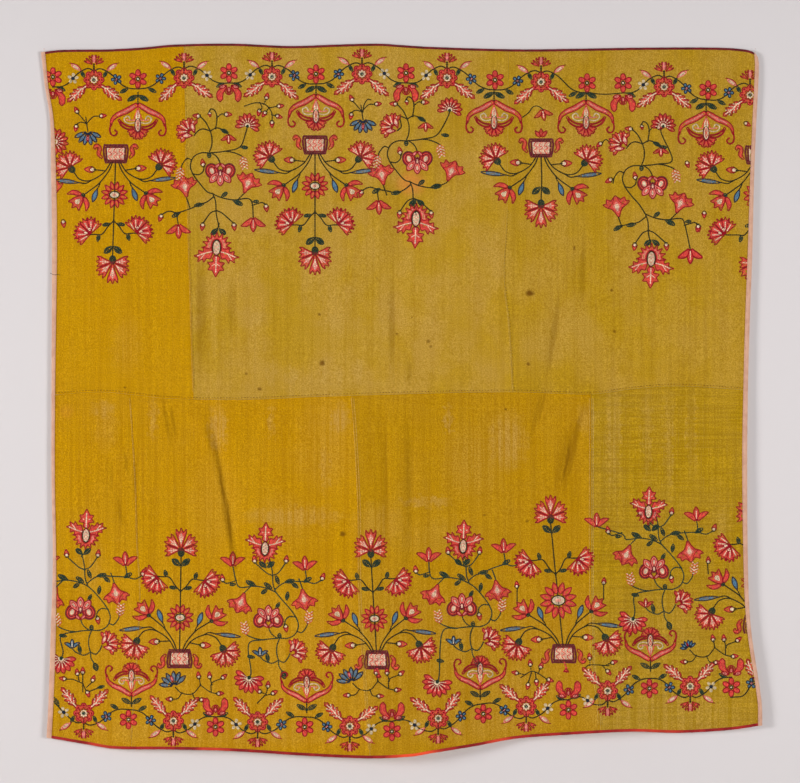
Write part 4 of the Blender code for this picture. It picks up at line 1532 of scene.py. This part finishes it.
Yarn = namedtuple("Yarn", "tone stitch slot share", defaults=[1.15])
yarns = {                      # colour, step in millimetres, slot and how much of a step is covered
    "madder": Yarn((152, 6, 26), 4.4, "madder_yarn"),
    "coral": Yarn((220, 72, 62), 5.4, "coral_yarn"),
    "pink": Yarn((234, 130, 118), 5.4, "pink_yarn"),
    "cream": Yarn((234, 204, 172), 5.4, "cream_yarn"),
    "ashen": Yarn((206, 186, 148), 5.4, "cream_yarn"),
    "green": Yarn((30, 52, 38), 5.6, "green_yarn"),
    "stem": Yarn((38, 36, 14), 5.4, "green_yarn", 1.3),
    "blue": Yarn((84, 126, 156), 5.0, "blue_yarn"),
    "navy": Yarn((24, 36, 56), 3.8, "navy_yarn"),
    "maroon": Yarn((108, 26, 40), 4.4, "maroon_yarn"),
    "seamPrick": Yarn((96, 62, 10), 9.0, "golden_wool", 0.42),
    "seamPale": Yarn((218, 184, 104), 4.6, "golden_wool", 0.7),
    "tapeThread": Yarn((206, 150, 124), 8.0, "rose_tape", 0.5),
}
middleLevel = -1.05            # splits each yarn into an upper and a lower piece
yarnLook = {                   # shares and lifts of a yarn's tone in its shade, light and age
    "dark": 0.78, "pale": 1.10, "paleLift": 8, "agedLift": 34, "aged": 0.18,
}
sewing = {                     # in metres, except the widths and lifts, which are in millimetres
    "step": 0.004, "fromTape": 0.014, "underSeam": 0.0055, "aside": 0.0030, "tapeInset": 0.0024,
    "seamWidth": 1.9, "upperWidth": 1.3, "lowerWidth": 1.4, "lift": 0.1,
}


def makeYarn(name, tone):
    # two-ply crewel wool: each stitch its own shade, with fine slanting plies
    material, tree, shader, place = startMaterial(name, 0.85, 0.04)
    shade = addNode(tree, "ShaderNodeAttribute", attribute_name="shade").outputs["Fac"]
    fleck = ramp(tree, noise(tree, place, 900.0, 2.0), 0.3, 0.7)
    value = combine(tree, "ADD", times(tree, shade, 0.7), times(tree, fleck, 0.3))
    aged = ramp(tree, noise(tree, place, 16.0, 3.0), 0.42, 0.70, 0.0, yarnLook["aged"])
    dark = [v * yarnLook["dark"] for v in tone]
    pale = [min(255, v * yarnLook["pale"] + yarnLook["paleLift"]) for v in tone]
    colour = layered(tree, linear(*dark), [
        (value, linear(*pale)), (aged, linear(*[v + yarnLook["agedLift"] for v in dark]))])
    plies = wave(tree, place, 330.0, 2.0, "DIAGONAL")
    finishMaterial(tree, shader, colour, bumped(tree, plies, 0.5, 0.0003))
    return material


def makeStitch():
    # one stitch, 1 long, 1 wide and 1 high: a rounded grain that lies on the cloth
    points = [(-0.56, 0, 0.05)]
    for x, share in ((-0.24, 1.0), (0.26, 0.86)):
        points += [(x, -0.5 * share, 0.0), (x, 0.0, share), (x, 0.5 * share, 0.0)]
    points.append((0.56, 0, 0.05))
    faces = []
    for k, j in ((0, 1), (1, 2), (2, 0)):
        faces += [(0, 1 + j, 1 + k), (1 + k, 1 + j, 4 + j, 4 + k), (4 + k, 4 + j, 7)]
    return meshObject("stitch", points, faces)


def pathMesh(name, rows):
    # every row of one yarn as edges on the cloth, with its outward direction and width
    x, z = (np.concatenate([np.array(row.points) for row in rows]) * mm).T
    width, lift = (np.concatenate([[row[k] * mm] * len(row.points) for row in rows])
                   for k in (Row._fields.index("width"), Row._fields.index("lift")))
    step, clear = 0.001, 0.0001
    y = depth(x, z)
    out = np.stack([(depth(x + step, z) - y) / step, -np.ones(len(y)),
                    (depth(x, z + step) - y) / step], -1)
    out /= np.linalg.norm(out, axis=1)[:, None]
    points = np.stack([x, y, z], -1) + out * (hanging["cloth"] / 2 + clear + lift)[:, None]
    edges, start = [], 0
    for row in rows:
        last = start + len(row.points) - 1
        edges += [(k, k + 1) for k in range(start, last)]
        if row.closed:
            edges.append((last, start))
        start = last + 1
    mesh = bpy.data.meshes.new(name)
    mesh.from_pydata([tuple(p) for p in points], edges, [])
    for label, kind, key, values in (("out", "FLOAT_VECTOR", "vector", out),
                                     ("wide", "FLOAT", "value", width)):
        mesh.attributes.new(label, kind, "POINT").data.foreach_set(
            key, values.astype(np.float32).ravel())
    return mesh


def stitchTree():
    tree = bpy.data.node_groups.new("crewelStitches", "GeometryNodeTree")
    kinds = {"Rows": "Geometry", "Stitch Length": "Float", "Share": "Float", "Height": "Float",
             "Unevenness": "Float", "Seed": "Int", "Yarn": "Material", "Stitch Object": "Object"}
    sockets = {label: tree.interface.new_socket(
        name=label, in_out="INPUT", socket_type="NodeSocket" + kind).identifier
        for label, kind in kinds.items()}
    tree.interface.new_socket(name="Worked", in_out="OUTPUT", socket_type="NodeSocketGeometry")
    given = tree.nodes.new("NodeGroupInput").outputs
    end = tree.nodes.new("NodeGroupOutput").inputs

    def node(kind, inputs=(), **settings):
        return addNode(tree, kind, inputs, **settings).outputs

    def carried(label, kind):
        return node("GeometryNodeInputNamedAttribute", {"Name": label},
                    data_type=kind)["Attribute"]

    def uneven(low, high, seedStep):
        seed = combine(tree, "ADD", given["Seed"], float(seedStep))
        return node("FunctionNodeRandomValue", {"Min": low, "Max": high, "Seed": seed},
                    data_type="FLOAT")["Value"]

    curve = node("GeometryNodeMeshToCurve", {"Mesh": given["Rows"]})[0]
    even = node("GeometryNodeResampleCurve", {
        "Curve": curve, "Length": given["Stitch Length"]}, mode="LENGTH")[0]
    along = node("FunctionNodeAlignRotationToVector", {
        "Vector": node("GeometryNodeInputTangent")[0]}, axis="X", pivot_axis="AUTO")[0]
    upright = node("FunctionNodeAlignRotationToVector", {
        "Rotation": along, "Vector": carried("out", "FLOAT_VECTOR")}, axis="Z", pivot_axis="X")[0]
    shape = node("GeometryNodeObjectInfo", {"Object": given["Stitch Object"]},
                 transform_space="ORIGINAL")["Geometry"]
    spread = times(tree, uneven(-1.0, 1.0, 1), given["Unevenness"])
    width = times(tree, carried("wide", "FLOAT"), combine(tree, "ADD", 1.0, spread))
    reach = times(tree, given["Stitch Length"], given["Share"])
    length = times(tree, reach, uneven(0.94, 1.10, 2))
    tall = times(tree, given["Height"], uneven(0.85, 1.12, 3))
    size = node("ShaderNodeCombineXYZ", {"X": length, "Y": width, "Z": tall})[0]
    placed = node("GeometryNodeInstanceOnPoints", {
        "Points": even, "Instance": shape, "Rotation": upright, "Scale": size})[0]
    shaded = node("GeometryNodeStoreNamedAttribute", {
        "Geometry": placed, "Name": "shade", "Value": uneven(0.0, 1.0, 4)}, data_type="FLOAT",
        domain="INSTANCE")[0]
    real = node("GeometryNodeRealizeInstances", {"Geometry": shaded})[0]
    dyed = node("GeometryNodeSetMaterial", {"Geometry": real, "Material": given["Yarn"]})[0]
    tree.links.new(dyed, end["Worked"])
    return tree, sockets


def workYarn(name, rows, yarn, material, seed):
    holder = addObject(name + "Rows", pathMesh(name + "Rows", rows))
    modifier = holder.modifiers.new("stitches", "NODES")
    modifier.node_group = stitchNodes
    couched = yarn.share < 1.0
    values = {"Stitch Length": yarn.stitch * mm, "Share": yarn.share,
              "Height": crewel["height"] * mm * (crewel["couchedHeight"] if couched else 1.0),
              "Unevenness": crewel["couchedUnevenness" if couched else "unevenness"],
              "Seed": seed, "Yarn": material, "Stitch Object": stitchObject}
    for label, value in values.items():
        modifier[stitchSockets[label]] = value
    graph = bpy.context.evaluated_depsgraph_get()
    mesh = bpy.data.meshes.new_from_object(holder.evaluated_get(graph))
    mesh.name = name
    mesh.shade_smooth()
    for label in ("out", "wide"):
        if label in mesh.attributes:
            mesh.attributes.remove(mesh.attributes[label])
    bpy.data.objects.remove(holder, do_unlink=True)
    return addObject(name, mesh)


def insideCloth(row):
    # only whole rows between the tapes are worked; a row that meets a tape is cut there
    x, z = (np.array(row.points) * mm).T
    margin = crewel["edge"] * mm
    left = smoothBetween(leftEdge, z) + smoothBetween(leftEdge, z, 2) + margin
    right = smoothBetween(rightEdge, z) - smoothBetween(rightEdge, z, 2) - margin
    inside = (x > left) & (x < right)
    if inside.all():
        return [row]
    kept = [[]]
    for point, ok in zip(row.points, inside):
        if ok:
            kept[-1].append(point)
        elif kept[-1]:
            kept.append([])
    return [row._replace(points=line, closed=False) for line in kept if len(line) > 3]


byYarn = defaultdict(list)
for row in workedRows:
    for part in insideCloth(row):
        half = "Top" if np.mean([z for x, z in part.points]) * mm > middleLevel else "Low"
        byYarn[part.yarn, half].append(part)


def sewAlong(yarn, line, width, lift):
    # a line of hand stitches, given in metres on the cloth
    byYarn[yarn, ""].append(Row(yarn, [(x / mm, z / mm) for x, z in line], False, width, lift))


def sewSeam(seam, start, end, threads):
    # lines of stitches beside an upright seam, each with its yarn, distance, start and look
    line = [(float(smoothBetween(seam, z)), z) for z in np.arange(start, end, -sewing["step"])]
    for yarn, away, below, width, lift in threads:
        sewAlong(yarn, [(x + away, z) for x, z in line if z < below], width, lift)


step, aside, lift = sewing["step"], sewing["aside"], sewing["lift"]
along = np.arange(columns[0] + sewing["fromTape"], columns[-1] - sewing["fromTape"], step)
underSeam = [(x, float(smoothBetween(middleSeam, x)) + sewing["underSeam"]) for x in along]
sewAlong("seamPrick", underSeam, sewing["seamWidth"], lift)
for seam, start, paleFrom in zip(upperSeams, (-0.030, -0.500), (-0.30, -0.74)):
    sewSeam(seam, start, seamLevel + 0.010, [
        ("seamPrick", aside, 0, sewing["upperWidth"], 0.0),
        ("seamPale", -aside, paleFrom, sewing["upperWidth"], lift)])
for seam, places in zip(lowerSeams, ((-aside,), (-aside, 0.0040), (-0.0055, 0.0020, 0.0060))):
    sewSeam(seam, -1.062, seam[-1][0] + 0.030,
            [("seamPale", away, 0, sewing["lowerWidth"], lift) for away in places])
tapeLift = (hanging["gap"] + hanging["tape"]) / mm
for edge, side in ((leftEdge, 1), (rightEdge, -1)):
    down = np.arange(-0.012, float(edge[-1][0]) + 0.012, -step)
    width = [float(smoothBetween(edge, z, 2)) - sewing["tapeInset"] for z in down]
    inner = [(float(smoothBetween(edge, z)) + side * w, z) for z, w in zip(down, width)]
    sewAlong("tapeThread", inner, sewing["lowerWidth"], tapeLift)
looseEnd = [(-1046, -686), (-1040, -689), (-1032, -690), (-1026, -688), (-1021, -690)]
byYarn["stem", "Top"].append(Row("stem", looseEnd, False, 1.6, tapeLift))

stitchNodes, stitchSockets = stitchTree()
stitchObject = makeStitch()
yarnMaterials = {name: makeYarn(name + "Yarn", yarn.tone) for name, yarn in yarns.items()}
yarnPieces = {}
for order, ((yarnName, half), rows) in enumerate(sorted(byYarn.items())):
    name = yarnName + "Stitches" + half
    yarn = yarns[yarnName]
    seed = crewel["firstSeed"] + order * crewel["seedStep"]
    piece = workYarn(name, rows, yarn, yarnMaterials[yarnName], seed)
    yarnPieces[name] = (piece, yarn.slot)
bpy.data.objects.remove(stitchObject, do_unlink=True)
print("stitches worked", sum(len(piece.data.polygons) for piece, slotName in yarnPieces.values()))

studio = {
    "lens": 135.0,
    "viewWidth": 2.40,         # width that the camera takes in at the cloth
    "viewMiddle": -1.0395,     # height of the middle of the view
    "floorLevel": -2.60,
    "wallGap": 0.004,          # clear space between the cloth and the wall
    "wallTone": (205, 201, 202),
    "floorTone": (222, 218, 215),
    "skyTone": (0.96, 0.95, 0.96, 1),
    "skyPower": 0.305,
}


def makeStageMaterial(name, roughness, tone, oneSided=False):
    # a wall of this shows only from the front, and lets light through to the back of the cloth
    material, tree, shader, place = startMaterial(name, roughness)
    shader.inputs["Base Color"].default_value = linear(*tone)
    if oneSided:
        clear = addNode(tree, "ShaderNodeBsdfTransparent").outputs[0]
        ray = addNode(tree, "ShaderNodeLightPath").outputs["Is Camera Ray"]
        behind = addNode(tree, "ShaderNodeNewGeometry").outputs["Backfacing"]
        seen = times(tree, ray, combine(tree, "SUBTRACT", 1.0, behind))
        mix = addNode(tree, "ShaderNodeMixShader", {0: seen, 1: clear, 2: shader.outputs[0]})
        tree.links.new(mix.outputs[0], tree.nodes["Material Output"].inputs["Surface"])
    return material


def addPlane(name, corners, material):
    mesh = bpy.data.meshes.new(name)
    mesh.from_pydata(corners, [], [(0, 1, 2, 3)])
    mesh.materials.append(material)
    addObject(name, mesh)


wallY = float(cadBox[1].y) + studio["wallGap"]
low = studio["floorLevel"]
addPlane("wall", [(-6, wallY, low), (6, wallY, low), (6, wallY, 3.0), (-6, wallY, 3.0)],
         makeStageMaterial("paleWall", 0.9, studio["wallTone"], oneSided=True))
addPlane("floor", [(-9, -12, low), (9, -12, low), (9, 9, low), (-9, 9, low)],
         makeStageMaterial("paleFloor", 0.8, studio["floorTone"]))

camera = addObject("camera", bpy.data.cameras.new("camera"))
camera.data.lens = studio["lens"]
distance = studio["viewWidth"] * studio["lens"] / camera.data.sensor_width
camera.location = (0, -distance, studio["viewMiddle"])
camera.rotation_euler = (pi / 2, 0, 0)
camera.data.clip_end = 60

lights = {
    "keyLight": {"place": (-8.6, -4.2, -0.3), "target": (0, 0, -1.3), "size": 2.4, "power": 160,
                 "spread": 80, "tint": (1.0, 0.985, 0.975)},
    "fillLight": {"place": (7.0, -6.0, -2.0), "target": (0, 0, -1.2), "size": 3.0, "power": 165,
                  "spread": 80, "tint": (1.0, 0.985, 0.985)},
    "backLight": {"place": (-1.5, 4.5, 1.2), "target": (0, 0, -1.0), "size": 3.0, "power": 200,
                  "spread": 180, "tint": (1.0, 0.99, 0.98)},
}
for name, look in lights.items():
    light = bpy.data.lights.new(name, "AREA")
    light.size = look["size"]
    light.energy = look["power"]
    light.spread = radians(look["spread"])
    light.color = look["tint"]
    lamp = addObject(name, light)
    lamp.location = look["place"]
    aim = Vector(look["target"]) - Vector(look["place"])
    lamp.rotation_euler = aim.to_track_quat("-Z", "Y").to_euler()

scene = bpy.context.scene
scene.camera = camera
scene.world = bpy.data.worlds.new("studio")
scene.world.use_nodes = True
sky = scene.world.node_tree.nodes["Background"].inputs
sky["Color"].default_value = studio["skyTone"]
sky["Strength"].default_value = studio["skyPower"]
scene.view_settings.view_transform = "Standard"
print("studio made")

clothPieces = [(cloth[name], node, slotName) for name, (node, *place, slotName) in panels.items()]
for piece, node, slotName in clothPieces + list(strips.values()):
    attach(piece, "root")
    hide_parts(node)
for piece, slotName in yarnPieces.values():
    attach(piece, "root")
